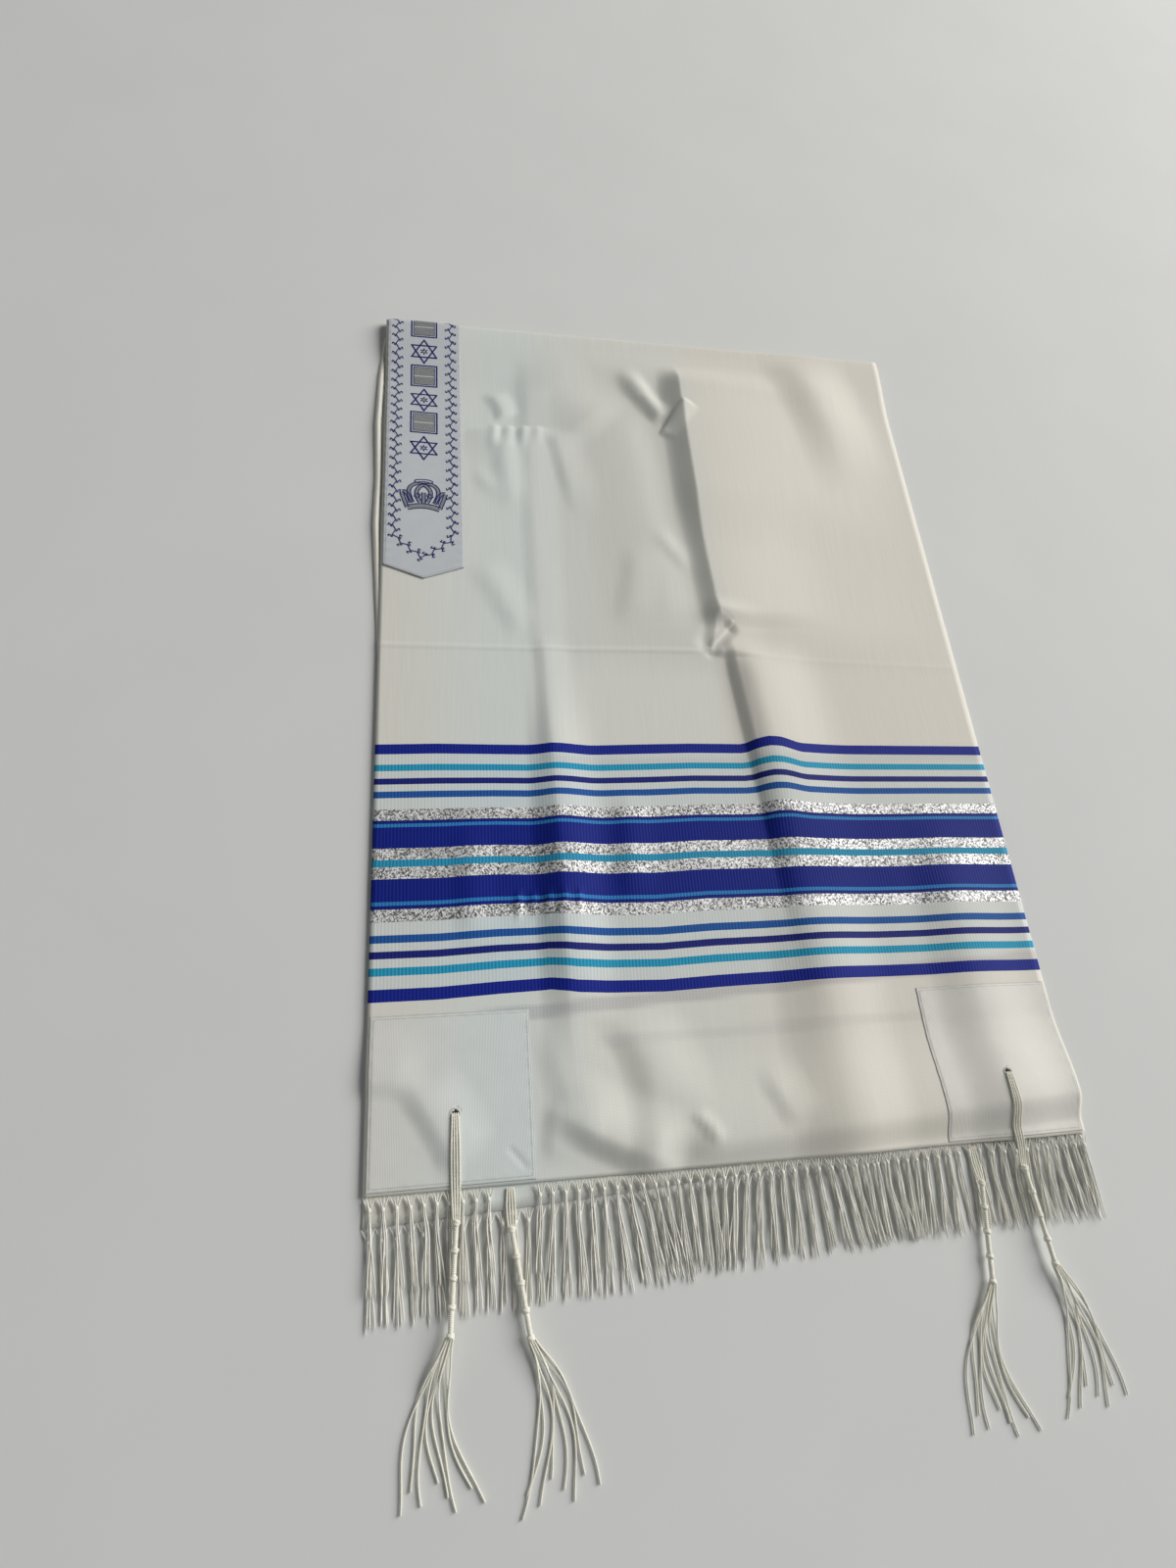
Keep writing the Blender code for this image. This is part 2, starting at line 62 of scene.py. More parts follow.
# Folds and creases of the upper layer, as ridges. A crest runs from u0, v0 to u1, v1 and bows
# sideways at its middle. The cloth falls away over the reach before it, which is towards the neck
# edge on a crest that runs to the hem, and the reach after it. A height below zero is a trough.
# A crisp crest is sharp above its slope; with crispness below zero it is round above a sharp foot.
Fold = namedtuple("Fold", "name u0 v0 u1 v1 bow before after height fade0 fade1 crisp")
FOLDS = (
    Fold("great fold", 0.331, 0.885, 0.348, 0.440, -0.006, 0.200, 0.250, 0.0075, 0.05, 0.06, 0.0),
    Fold("core high", 0.331, 0.860, 0.3335, 0.590, 0.0, 0.025, 0.268, 0.0125, 0.04, 0.09, 0.65),
    Fold("core low", 0.3300, 0.690, 0.3400, 0.492, -0.001, 0.019, 0.140, 0.0080, 0.10, 0.022, 0.75),
    Fold("core end", 0.3375, 0.530, 0.3270, 0.464, 0.002, 0.012, 0.060, 0.0040, 0.018, 0.008, 0.6),
    Fold("shoulder", 0.258, 0.800, 0.288, 0.480, 0.0, 0.070, 0.036, 0.0020, 0.06, 0.05, 0.0),
    Fold("fold tail", 0.3657, 0.484, 0.394, 0.080, 0.002, 0.0260, 0.085, 0.0060, 0.046, 0.33, 0.0),
    Fold("tail foot", 0.3503, 0.487, 0.382, 0.080, 0.001, 0.0110, 0.085, 0.0056, 0.036, 0.33, -0.2),
    Fold("top ridge", 0.262, 0.850, 0.312, 0.768, 0.0, 0.016, 0.020, 0.0060, 0.04, 0.014, 0.0),
    Fold("top pleat", 0.336, 0.796, 0.304, 0.748, 0.0, 0.0036, 0.022, 0.0034, 0.008, 0.008, 0.0),
    Fold("far fold", 0.474, 0.905, 0.528, 0.660, 0.012, 0.050, 0.070, 0.0085, 0.07, 0.15, 0.1),
    Fold("long crease", 0.156, 0.880, 0.156, 0.430, 0.0, 0.016, 0.030, 0.0012, 0.10, 0.08, 0.2),
    Fold("long crease mid", 0.158, 0.490, 0.159, 0.330, 0.0, 0.013, 0.030, 0.0018, 0.03, 0.05, 0.4),
    Fold("long crease low", 0.160, 0.470, 0.162, 0.060, 0.0, 0.026, 0.045, 0.0082, 0.20, 0.14, 0.4),
    Fold("neck edge", 0.004, 0.830, 0.004, 0.500, 0.0, 0.030, 0.070, 0.0016, 0.08, 0.12, 0.0),
    Fold("patch fold", 0.028, 0.082, 0.072, 0.010, 0.003, 0.017, 0.040, 0.0032, 0.03, 0.02, 0.1),
    Fold("patch fold neck", 0.050, 0.076, -0.030, 0.084, 0.0, 0.045, 0.016, 0.0022, 0.03, 0.02, 0.0),
    Fold("patch lee", 0.148, 0.062, 0.142, 0.008, 0.0, 0.014, 0.040, 0.0022, 0.02, 0.02, 0.2),
    Fold("patch dash", 0.107, 0.026, 0.122, 0.009, 0.0, 0.0025, 0.003, -0.0013, 0.004, 0.004, 0.6),
    Fold("hem roll", 0.138, 0.052, 0.246, 0.000, -0.003, 0.019, 0.045, 0.0088, 0.045, 0.03, 0.3),
    Fold("hem ridge", 0.144, 0.122, 0.162, 0.040, 0.0, 0.022, 0.060, 0.0022, 0.04, 0.03, 0.0),
    Fold("hem fold", 0.188, 0.134, 0.222, 0.004, 0.022, 0.028, 0.050, 0.0047, 0.05, 0.02, 0.0),
    Fold("hem hook", 0.252, 0.040, 0.272, 0.014, 0.003, 0.004, 0.012, 0.0022, 0.008, 0.006, 0.7),
    Fold("hem streak", 0.318, 0.078, 0.345, 0.020, 0.0, 0.016, 0.030, 0.0022, 0.03, 0.02, 0.2),
    Fold("hem shelf", 0.225, 0.016, 0.640, 0.036, 0.0, 0.022, 0.070, 0.0090, 0.05, 0.02, -0.3),
    Fold("outer wave", 0.392, 0.250, 0.388, -0.030, 0.0, 0.055, 0.060, 0.0075, 0.10, 0.03, 0.0),
    Fold("corner wave", 0.535, 0.330, 0.540, -0.030, -0.008, 0.045, 0.060, 0.0060, 0.15, 0.03, 0.0),
    Fold("cross crease", -0.02, 0.4700, 0.325, 0.4685, 0.0, 0.0034, 0.006, 0.0007, 0.02, 0.02, 0.8),
    Fold("cross crease far", 0.346, 0.463, 0.620, 0.456, 0.0, 0.006, 0.006, 0.0003, 0.02, 0.02, 0.8),
    Fold("pinch ridge", 0.3260, 0.4725, 0.3535, 0.5005, 0.0, 0.0022, 0.006, 0.0009, 0.005, 0.003, 0.5),
    Fold("pinch dip", 0.3200, 0.4630, 0.3550, 0.4985, 0.0, 0.0115, 0.026, -0.0036, 0.016, 0.010, 0.0),
    Fold("pinch lid", 0.3385, 0.5120, 0.3535, 0.5005, 0.0, 0.0028, 0.0034, -0.0003, 0.003, 0.003, 0.0),
    Fold("pucker shelf", 0.080, 0.742, 0.205, 0.745, 0.003, 0.060, 0.011, 0.0020, 0.03, 0.05, 0.0),
    Fold("pucker crease", 0.075, 0.742, 0.185, 0.756, 0.004, 0.0050, 0.0050, -0.0005, 0.015, 0.04, 0.0),
    Fold("pucker lid", 0.150, 0.850, 0.243, 0.752, 0.0, 0.070, 0.060, 0.0036, 0.05, 0.03, 0.0),
    Fold("neck drape high", 0.110, 0.806, 0.130, 0.762, 0.004, 0.014, 0.022, 0.0026, 0.02, 0.01, 0.1),
    Fold("fan left", 0.126, 0.742, 0.134, 0.630, 0.0, 0.020, 0.024, 0.0022, 0.02, 0.05, 0.0),
    Fold("fan right", 0.184, 0.750, 0.208, 0.620, 0.0, 0.015, 0.030, 0.0017, 0.015, 0.07, 0.0),
    Fold("neck drape low", 0.092, 0.690, 0.122, 0.655, 0.0, 0.010, 0.018, 0.0014, 0.02, 0.02, 0.3),
    Fold("tip drape", 0.092, 0.575, 0.140, 0.480, 0.004, 0.020, 0.030, 0.0016, 0.03, 0.03, 0.2),
    Fold("middle drape", 0.262, 0.605, 0.238, 0.490, 0.004, 0.018, 0.030, 0.0014, 0.04, 0.04, 0.2),
    Fold("short drape", 0.280, 0.615, 0.318, 0.563, 0.0, 0.010, 0.020, 0.0016, 0.02, 0.02, 0.4),
    Fold("stripe wave", 0.226, 0.330, 0.222, 0.200, 0.0, 0.016, 0.030, 0.0020, 0.04, 0.04, 0.2),
    Fold("stripe wave neck", 0.080, 0.300, 0.084, 0.170, 0.0, 0.018, 0.026, 0.0016, 0.04, 0.04, 0.2),
)
CRISP_POWER = 1.7
ROUND_POWER = 2.0

# Rows of small puckers: along a crease near the collar band, and across the last silver stripe
PuckerRow = namedtuple("PuckerRow", "u v pitch count length height reach")
PUCKER_ROWS = (
    PuckerRow(0.118, 0.757, 0.0160, 4, 0.046, 0.0014, 0.0080),
    PuckerRow(0.124, 0.226, 0.0130, 5, 0.028, 0.0024, 0.0046),
)
PUCKER_LEAN = -0.10
PUCKER_SHARES = (1.0, 0.75, 0.9, 0.6, 0.8)
PUCKER_FADES = (0.6, 4.0)
PUCKER_CRISP = 0.2


def smooth_step(x):
    """0 below 0, 1 above 1 and a smooth S between."""
    x = np.clip(x, 0.0, 1.0)
    return x * x * (3.0 - 2.0 * x)


def pucker_folds(row):
    """The ridges of a row of puckers, as unlike in length and height as their shares. Their fades
    are in sixths of the row's length."""
    reaches = (row.reach, row.reach)
    fades = [part * (row.length / 6) for part in PUCKER_FADES]
    folds = []
    for k in range(row.count):
        share = PUCKER_SHARES[k % len(PUCKER_SHARES)]
        u = row.u + k * row.pitch
        run = row.length * (0.5 + 0.5 * share)
        ends = (u, row.v, u + PUCKER_LEAN * run, row.v - run)
        folds.append(Fold("pucker", *ends, 0.0, *reaches, row.height * share, *fades, PUCKER_CRISP))
    return folds


def fold_height(fold, u, v):
    """Height that one fold adds: its profile across the crest, faded out at the crest's two ends.

    With share the distance from the crest over the reach, the profile is 1 - S(share), blended by
    the crispness with (1 - share)^1.7 for a sharp crest or 1 - share^2 for a round one."""
    du = fold.u1 - fold.u0
    dv = fold.v1 - fold.v0
    length = math.hypot(du, dv)
    along = ((u - fold.u0) * du + (v - fold.v0) * dv) / length
    across = ((v - fold.v0) * du - (u - fold.u0) * dv) / length
    across = across - fold.bow * np.sin(np.pi * np.clip(along / length, 0.0, 1.0))
    reach = np.where(across < 0.0, fold.before, fold.after)
    share = np.clip(np.abs(across) / reach, 0.0, 1.0)
    crisp = np.where(across < 0.0, abs(fold.crisp), 0.0)
    sharp = (1.0 - share) ** CRISP_POWER if fold.crisp > 0.0 else 1.0 - share**ROUND_POWER
    profile = (1.0 - crisp) * (1.0 - smooth_step(share)) + crisp * sharp
    fade = smooth_step(along / fold.fade0) * smooth_step((length - along) / fold.fade1)
    return fold.height * profile * fade


ALL_FOLDS = list(FOLDS) + [fold for row in PUCKER_ROWS for fold in pucker_folds(row)]


def lift(u, v):
    """Height of the upper layer above where it would lie flat: all folds, and the roll at the end."""
    total = sum(fold_height(fold, u, v) for fold in ALL_FOLDS)
    total = total + ROLL_HEIGHT * smooth_step(1.0 - (ROLL_START - v) / ROLL_REACH)
    return np.maximum(total, DEEPEST_HOLLOW)


def points_of(*coordinates):
    """One array of points, from an array of each coordinate."""
    return np.stack(np.broadcast_arrays(*coordinates), axis=-1)


def cloth_point(u, t, out):
    """World point on the upper layer, or on its turn round the fold, moved out of the cloth by out.

    Up to the roll, the height is the cloth's top plus its lift. Round the roll the point goes along
    half an ellipse from that height down to the floor, and past it the cloth runs back underneath.
    """
    flat_t = np.minimum(t, ROLL_START)
    run = t - ROLL_START
    turn = np.clip(run / ROLL_RADIUS, 0.0, math.pi)
    under = np.maximum(run - math.pi * ROLL_RADIUS, 0.0)
    half_height = 0.5 * (CLOTH_TOP + lift(u, flat_t))
    y = HEM_Y + flat_t - under + (ROLL_OUT + out) * np.sin(turn)
    z = half_height + (half_height + out) * np.cos(turn)
    return points_of(EDGE_X + u, y, z)


# Camera
# It hangs over the shawl near its hem end and looks down and along it, as the photograph does.
CAMERA_FOOT_U = 0.0605
CAMERA_FOOT_V = 0.0397
CAMERA_HEIGHT = 0.689
CAMERA_LENS = 18.9
CAMERA_RIGHT = Vector((0.98494, -0.07203, 0.15716))
CAMERA_UP = Vector((0.00608, 0.92293, 0.38493))
SENSOR = 36.0

camera_data = bpy.data.cameras.new("camera")
camera_data.sensor_fit = "VERTICAL"
camera_data.sensor_height = SENSOR
camera_data.lens = CAMERA_LENS
camera = bpy.data.objects.new("camera", camera_data)
turned = Matrix((CAMERA_RIGHT, CAMERA_UP, CAMERA_RIGHT.cross(CAMERA_UP))).transposed()
camera_place = Vector((EDGE_X + CAMERA_FOOT_U, HEM_Y + CAMERA_FOOT_V, CLOTH_TOP + CAMERA_HEIGHT))
camera.matrix_world = Matrix.Translation(camera_place) @ turned.to_4x4()
bpy.context.scene.collection.objects.link(camera)
bpy.context.scene.camera = camera


# Upper layer of the cloth
# Off-white woven acrylic with a group of blue, turquoise and silver stripes, woven in one length.
# It lies in soft folds and packing creases, turns round the fold and runs back underneath.
EYELET_U = 0.0676
EYELET_V = 0.0526
EYELET_CUT = 0.0029
ROLL_END = ROLL_START + math.pi * ROLL_RADIUS

# Grid lines, closest where the folds and the eyelets are: each stretch goes on from the one
# before it to its own end, in its number of steps
UPPER_COLUMNS = (
    (0.0631, 17),
    (0.0721, 6),
    (0.1160, 12),
    (0.2000, 44),
    (0.2900, 20),
    (0.3230, 16),
    (0.3600, 30),
    (0.5279, 30),
    (0.5369, 6),
    (WIDTH, 10),
)
UPPER_ROWS = (
    (0.0481, 17),
    (0.0571, 6),
    (0.1400, 22),
    (0.3700, 48),
    (0.4550, 16),
    (0.5150, 46),
    (0.7200, 30),
    (0.8050, 36),
    (ROLL_START, 14),
    (ROLL_END, 12),
    (ROLL_END + LIP, 3),
)

# Stripes from the middle of their group outwards; the first is half of the middle one
Stripe = namedtuple("Stripe", "name width color kind")
PLAIN = 0.0
FAINT_RIB = 0.15
RIBBED = 0.5
SILVER = 1.0
WHITE_DYE = (233, 232, 228)
STRIPE_WHITE = (228, 234, 236)
SILVER_GROUND = (176, 176, 176)
STRIPES = (
    Stripe("middle turquoise", 0.0027, (50, 168, 214), RIBBED),
    Stripe("inner silver", 0.0107, SILVER_GROUND, SILVER),
    Stripe("wide navy", 0.0189, (2, 33, 150), RIBBED),
    Stripe("light line", 0.0030, (50, 142, 220), RIBBED),
    Stripe("thin navy", 0.0034, (2, 33, 140), RIBBED),
    Stripe("outer silver", 0.0102, SILVER_GROUND, SILVER),
    Stripe("white 1", 0.0106, STRIPE_WHITE, FAINT_RIB),
    Stripe("mid blue", 0.0066, (34, 100, 186), RIBBED),
    Stripe("white 2", 0.0065, STRIPE_WHITE, FAINT_RIB),
    Stripe("indigo", 0.0057, (24, 38, 136), RIBBED),
    Stripe("white 3", 0.0072, STRIPE_WHITE, FAINT_RIB),
    Stripe("turquoise", 0.0062, (44, 176, 222), RIBBED),
    Stripe("white 4", 0.0104, STRIPE_WHITE, FAINT_RIB),
    Stripe("royal", 0.0100, (12, 38, 160), RIBBED),
)
STRIPES_MIDDLE = 0.2540
STRIPES_HALF = sum(stripe.width for stripe in STRIPES)
RAMP_SHARE = 0.98

# How far the stripes wander along the cloth at the hem side, middle and fold side of their group
Wander = namedtuple("Wander", "u hem_side middle fold_side")
WANDERS = (
    Wander(0.000, -0.0030, 0.0000, -0.0003),
    Wander(0.055, -0.0030, 0.0002, 0.0008),
    Wander(0.105, -0.0008, 0.0018, 0.0000),
    Wander(0.147, 0.0004, 0.0006, -0.0004),
    Wander(0.170, -0.0032, 0.0008, -0.0006),
    Wander(0.194, -0.0044, 0.0006, -0.0010),
    Wander(0.244, -0.0058, 0.0002, 0.0004),
    Wander(0.292, -0.0042, 0.0024, 0.0014),
    Wander(0.322, -0.0036, 0.0020, 0.0012),
    Wander(0.344, -0.0034, 0.0022, 0.0010),
    Wander(0.358, -0.0032, 0.0018, 0.0034),
    Wander(0.370, -0.0030, 0.0014, 0.0052),
    Wander(0.384, -0.0030, 0.0012, 0.0044),
    Wander(0.402, -0.0028, 0.0010, -0.0008),
    Wander(0.440, -0.0024, 0.0006, 0.0000),
    Wander(WIDTH, -0.0034, -0.0006, -0.0010),
)

# Painted light on the white: a painted cool reflection near the collar band, turning to painted
# warm light at the outer edge
Tint = namedtuple("Tint", "u at_hem at_fold")
PAINTED_LIGHT_TINTS = (
    Tint(0.0, 0.80, 0.85),
    Tint(0.035, 0.70, 0.55),
    Tint(0.075, 0.30, 0.25),
    Tint(0.110, 0.10, 0.10),
    Tint(0.140, 0.25, 0.05),
    Tint(0.190, 0.60, 0.40),
    Tint(0.250, 0.65, 0.60),
    Tint(0.320, 0.72, 0.60),
    Tint(0.360, 0.95, 0.95),
    Tint(WIDTH, 1.0, 1.0),
)
PAINTED_LIGHT_CHANGE = (0.20, 0.60)
PAINTED_COOL_LIGHT = (0.935, 1.005, 1.02, 1.0)
PAINTED_WARM_LIGHT = (0.985, 0.950, 0.891, 1.0)

# The lower layer shows through the upper one as soft bands
Veil = namedtuple("Veil", "u0 v0 u1 v1 half_width strength")
VEILS = (
    Veil(0.00, 0.118, 0.42, 0.141, 0.0055, 1.0),
    Veil(0.17, 0.098, 0.60, 0.108, 0.0045, 0.35),
    Veil(0.14, 0.3480, 0.60, 0.352, 0.0050, 0.45),
)
VEIL_FADE = 0.0025
VEIL_RUN_IN = 0.03
VEIL_DYE = (196, 194, 196)
VEIL_STRENGTH = 0.65

# Weave: ribs in the coloured stripes, dots between them, a fine plain weave, and streaks along the
# warp. The silver is flakes of foil, each painted with a glint from dark to bright, and duller
# patches.
RIB_PERIOD = 0.0029
RIB_DARKNESS = 0.8
RIB_HEIGHT = 1.4
DOT_PERIOD = 0.0021
DOT_STRENGTH = 0.5
WEAVE_PERIODS = (0.0011, 0.0010)
WEAVE_HEIGHT = 0.25
STREAKS_PER_METRE = (520.0, 14.0)
STREAK_DARKNESS = 0.10
FLAKES_PER_METRE = (1000.0, 780.0)
PAINTED_FLAKE_GLINTS = (
    (0.0, (48, 48, 50)),
    (0.35, (162, 162, 164)),
    (0.7, (248, 248, 248)),
    (1.0, (255, 255, 255)),
)
DULL_PATCHES_PER_METRE = 24.0
DULL_SILVER = (60, 60, 62)
DULLEST = 0.58
SILVER_METAL = 0.4
SILVER_ROUGHNESS = 0.58
PLAIN_ROUGHNESS = 0.74
SPECULAR = 0.2
SHEEN_ROUGHNESS = 0.5
BLACK = (0.0, 0.0, 0.0, 1.0)
BLUE_BLACK = (0.0, 0.0, 0.02, 1.0)


def stations(stretches):
    """Every grid line from 0 on, of a table of stretches."""
    ends = [0.0] + [end for end, _ in stretches]
    lines = [np.linspace(a, b, steps, endpoint=False) for a, (b, steps) in zip(ends, stretches)]
    return np.append(np.concatenate(lines), ends[-1])


def look_up(table, column, at):
    """A column of a table at a place, evenly between its rows. The first column is the place."""
    return np.interp(at, [row[0] for row in table], [getattr(row, column) for row in table])


def stripe_distance(u, t):
    """Signed distance from the middle of the stripes, with their wander blended along t."""
    hem_side = look_up(WANDERS, "hem_side", u)
    middle = look_up(WANDERS, "middle", u)
    fold_side = look_up(WANDERS, "fold_side", u)
    place = np.clip((t - STRIPES_MIDDLE) / STRIPES_HALF, -1.0, 1.0)
    wander = middle + np.where(place < 0.0, (middle - hem_side) * place, (fold_side - middle) * place)
    return t - STRIPES_MIDDLE - wander


def veil_strength(u, t):
    """How strongly the lower layer's stripes show through at a point."""
    total = np.zeros(np.broadcast(u, t).shape)
    for veil in VEILS:
        line = veil.v0 + (veil.v1 - veil.v0) * (u - veil.u0) / (veil.u1 - veil.u0)
        inside = smooth_step((veil.half_width - np.abs(t - line)) / VEIL_FADE + 0.5)
        total = total + veil.strength * inside * smooth_step((u - veil.u0) / VEIL_RUN_IN)
    return np.clip(total, 0.0, 1.0)


def warmth(u, t):
    """How warm the painted light is at a point, from 0 for the painted cool reflection to 1 for painted
    warm light, blended along t from the hem to the fold.
    """
    at_hem = look_up(PAINTED_LIGHT_TINTS, "at_hem", u)
    at_fold = look_up(PAINTED_LIGHT_TINTS, "at_fold", u)
    start, end = PAINTED_LIGHT_CHANGE
    return at_hem + (at_fold - at_hem) * smooth_step((t - start) / (end - start))


def grid_cells(index):
    """The four corners of every cell of a grid, from the grid of its points' numbers."""
    return np.stack([index[:-1, :-1], index[:-1, 1:], index[1:, 1:], index[1:, :-1]], axis=-1)


def new_piece(name, points, quads):
    """A smooth piece made of points, and of cells with four corners each."""
    mesh = bpy.data.meshes.new(name)
    mesh.from_pydata(points, [], quads)
    mesh.shade_smooth()
    obj = bpy.data.objects.new(name, mesh)
    bpy.context.scene.collection.objects.link(obj)
    return obj


def sheet_mesh(name, points, u, t, values, keep=None):
    """Piece made of a grid of points, with u, t as its UV map and further values at each point.

    keep says which cells of the grid are cloth, where it has a hole."""
    rows, columns = points.shape[:2]
    quads = grid_cells(np.arange(rows * columns).reshape(rows, columns))
    quads = quads.reshape(-1, 4) if keep is None else quads[keep]
    used, corners = np.unique(quads, return_inverse=True)
    obj = new_piece(name, points.reshape(-1, 3)[used], corners.reshape(-1, 4))
    uv = points_of(u, t).reshape(-1, 2)[used][corners.ravel()]
    obj.data.uv_layers.new(name="cloth").data.foreach_set("uv", uv.ravel())
    for key, value in values.items():
        layer = obj.data.attributes.new(key, "FLOAT", "POINT")
        layer.data.foreach_set("value", np.ascontiguousarray(value).ravel()[used])
    return obj


def thicken(obj, thickness):
    """Gives a sheet its wall, out of the face that the grid describes."""
    solidify = obj.modifiers.new("wall", "SOLIDIFY")
    solidify.thickness = thickness
    solidify.offset = 1.0
    solidify.use_even_offset = False


def finish_piece(obj, material, slot, *nodes):
    """Dresses a piece, joins it to the part and hides the solids that it stands for."""
    obj.data.materials.append(material)
    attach(obj, "root")
    if nodes:
        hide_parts(*nodes)
    return obj


def dye(color, share=1.0):
    """Linear colour, with alpha, of a colour given as three sRGB numbers up to 255, or of a share
    of it."""
    shares = np.minimum(share * np.array(color), 255) / 255
    linear = np.where(shares <= 0.04045, shares / 12.92, ((shares + 0.055) / 1.055) ** 2.4)
    return (*linear.tolist(), 1.0)


def start_material(name, roughness, sheen):
    """A Principled material with its roughness and sheen, and what its nodes are added to."""
    material = bpy.data.materials.new(name)
    material.use_nodes = True
    shader = material.node_tree.nodes["Principled BSDF"]
    shader.inputs["Roughness"].default_value = roughness
    shader.inputs["Specular IOR Level"].default_value = SPECULAR
    shader.inputs["Sheen Weight"].default_value = sheen
    shader.inputs["Sheen Roughness"].default_value = SHEEN_ROUGHNESS
    return material, material.node_tree, shader


def node(tree, kind, inputs=None, **settings):
    """Adds a node. Each input is linked when it is given a socket, and set when given a value."""
    made = tree.nodes.new("ShaderNode" + kind)
    for key, value in settings.items():
        setattr(made, key, value)
    for key, value in (inputs or {}).items():
        if isinstance(value, bpy.types.NodeSocket):
            tree.links.new(value, made.inputs[key])
        else:
            made.inputs[key].default_value = value
    return made


def calc(tree, operation, a, b=0.0, c=0.0):
    """Result of a Math node."""
    return node(tree, "Math", {0: a, 1: b, 2: c}, operation=operation).outputs[0]


def times(tree, a, b):
    """Product of two numbers."""
    return calc(tree, "MULTIPLY", a, b)


def mix(tree, factor, a, b, blend="MIX"):
    """Colour result of a Mix node."""
    inputs = {"Factor": factor, 6: a, 7: b}
    return node(tree, "Mix", inputs, data_type="RGBA", blend_type=blend).outputs[2]


def apart(tree, vector):
    """The three numbers of a place or a colour."""
    return node(tree, "SeparateXYZ", {0: vector}).outputs


def attribute(tree, name):
    """A value that the mesh has at each point."""
    return node(tree, "Attribute", attribute_name=name).outputs["Fac"]


def cloth_place(tree):
    """The place on the cloth, from its UV map."""
    return node(tree, "UVMap", uv_map="cloth").outputs["UV"]


def scaled(tree, place, per_metre):
    """A place on the cloth, counted in so many units a metre across and along."""
    return node(tree, "Mapping", {"Vector": place, "Scale": (*per_metre, 1.0)}).outputs[0]


def noise(tree, place, per_metre, detail):
    """Cloudy noise, from 0 to 1."""
    inputs = {"Vector": place, "Scale": per_metre, "Detail": detail}
    return node(tree, "TexNoise", inputs).outputs["Fac"]


def waves(tree, socket, period):
    """A sine along a coordinate, from 0 to 1, that repeats over the period."""
    wave = calc(tree, "SINE", times(tree, socket, 2 * math.pi / period))
    return calc(tree, "MULTIPLY_ADD", wave, 0.5, 0.5)


def color_ramp(tree, factor, stops, interpolation):
    """Colour ramp with a list of (position, colour)."""
    made = node(tree, "ValToRGB", {"Fac": factor})
    ramp = made.color_ramp
    ramp.interpolation = interpolation
    while len(ramp.elements) > 1:
        ramp.elements.remove(ramp.elements[-1])
    ramp.elements[0].position, ramp.elements[0].color = stops[0]
    for position, color in stops[1:]:
        ramp.elements.new(position).color = color
    return made


def dress(tree, shader, color, height=None, strength=0.0, distance=0.0):
    """Gives a shader its colour, and a bump where there is a height."""
    tree.links.new(color, shader.inputs["Base Color"])
    if height is not None:
        bump = node(tree, "Bump", {"Strength": strength, "Distance": distance, "Height": height})
        tree.links.new(bump.outputs["Normal"], shader.inputs["Normal"])


def stripe_ramp(tree):
    """Colour of the stripes and of the white past them, with the kind of weave as alpha."""
    stops = []
    edge = 0.0
    for stripe in STRIPES:
        stops.append((edge / STRIPES_HALF * RAMP_SHARE, (*dye(stripe.color)[:3], stripe.kind)))
        edge += stripe.width
    stops.append((RAMP_SHARE, (*dye(WHITE_DYE)[:3], PLAIN)))
    distance = calc(tree, "ABSOLUTE", attribute(tree, "stripe"))
    share = times(tree, distance, RAMP_SHARE / STRIPES_HALF)
    return color_ramp(tree, share, stops, "CONSTANT")


def tint_by_painted_light(tree, color):
    """A colour multiplied by the painted cool or warm light of its place."""
    painted_light = mix(tree, attribute(tree, "warmth"), PAINTED_COOL_LIGHT, PAINTED_WARM_LIGHT)
    return mix(tree, 1.0, color, painted_light, "MULTIPLY")


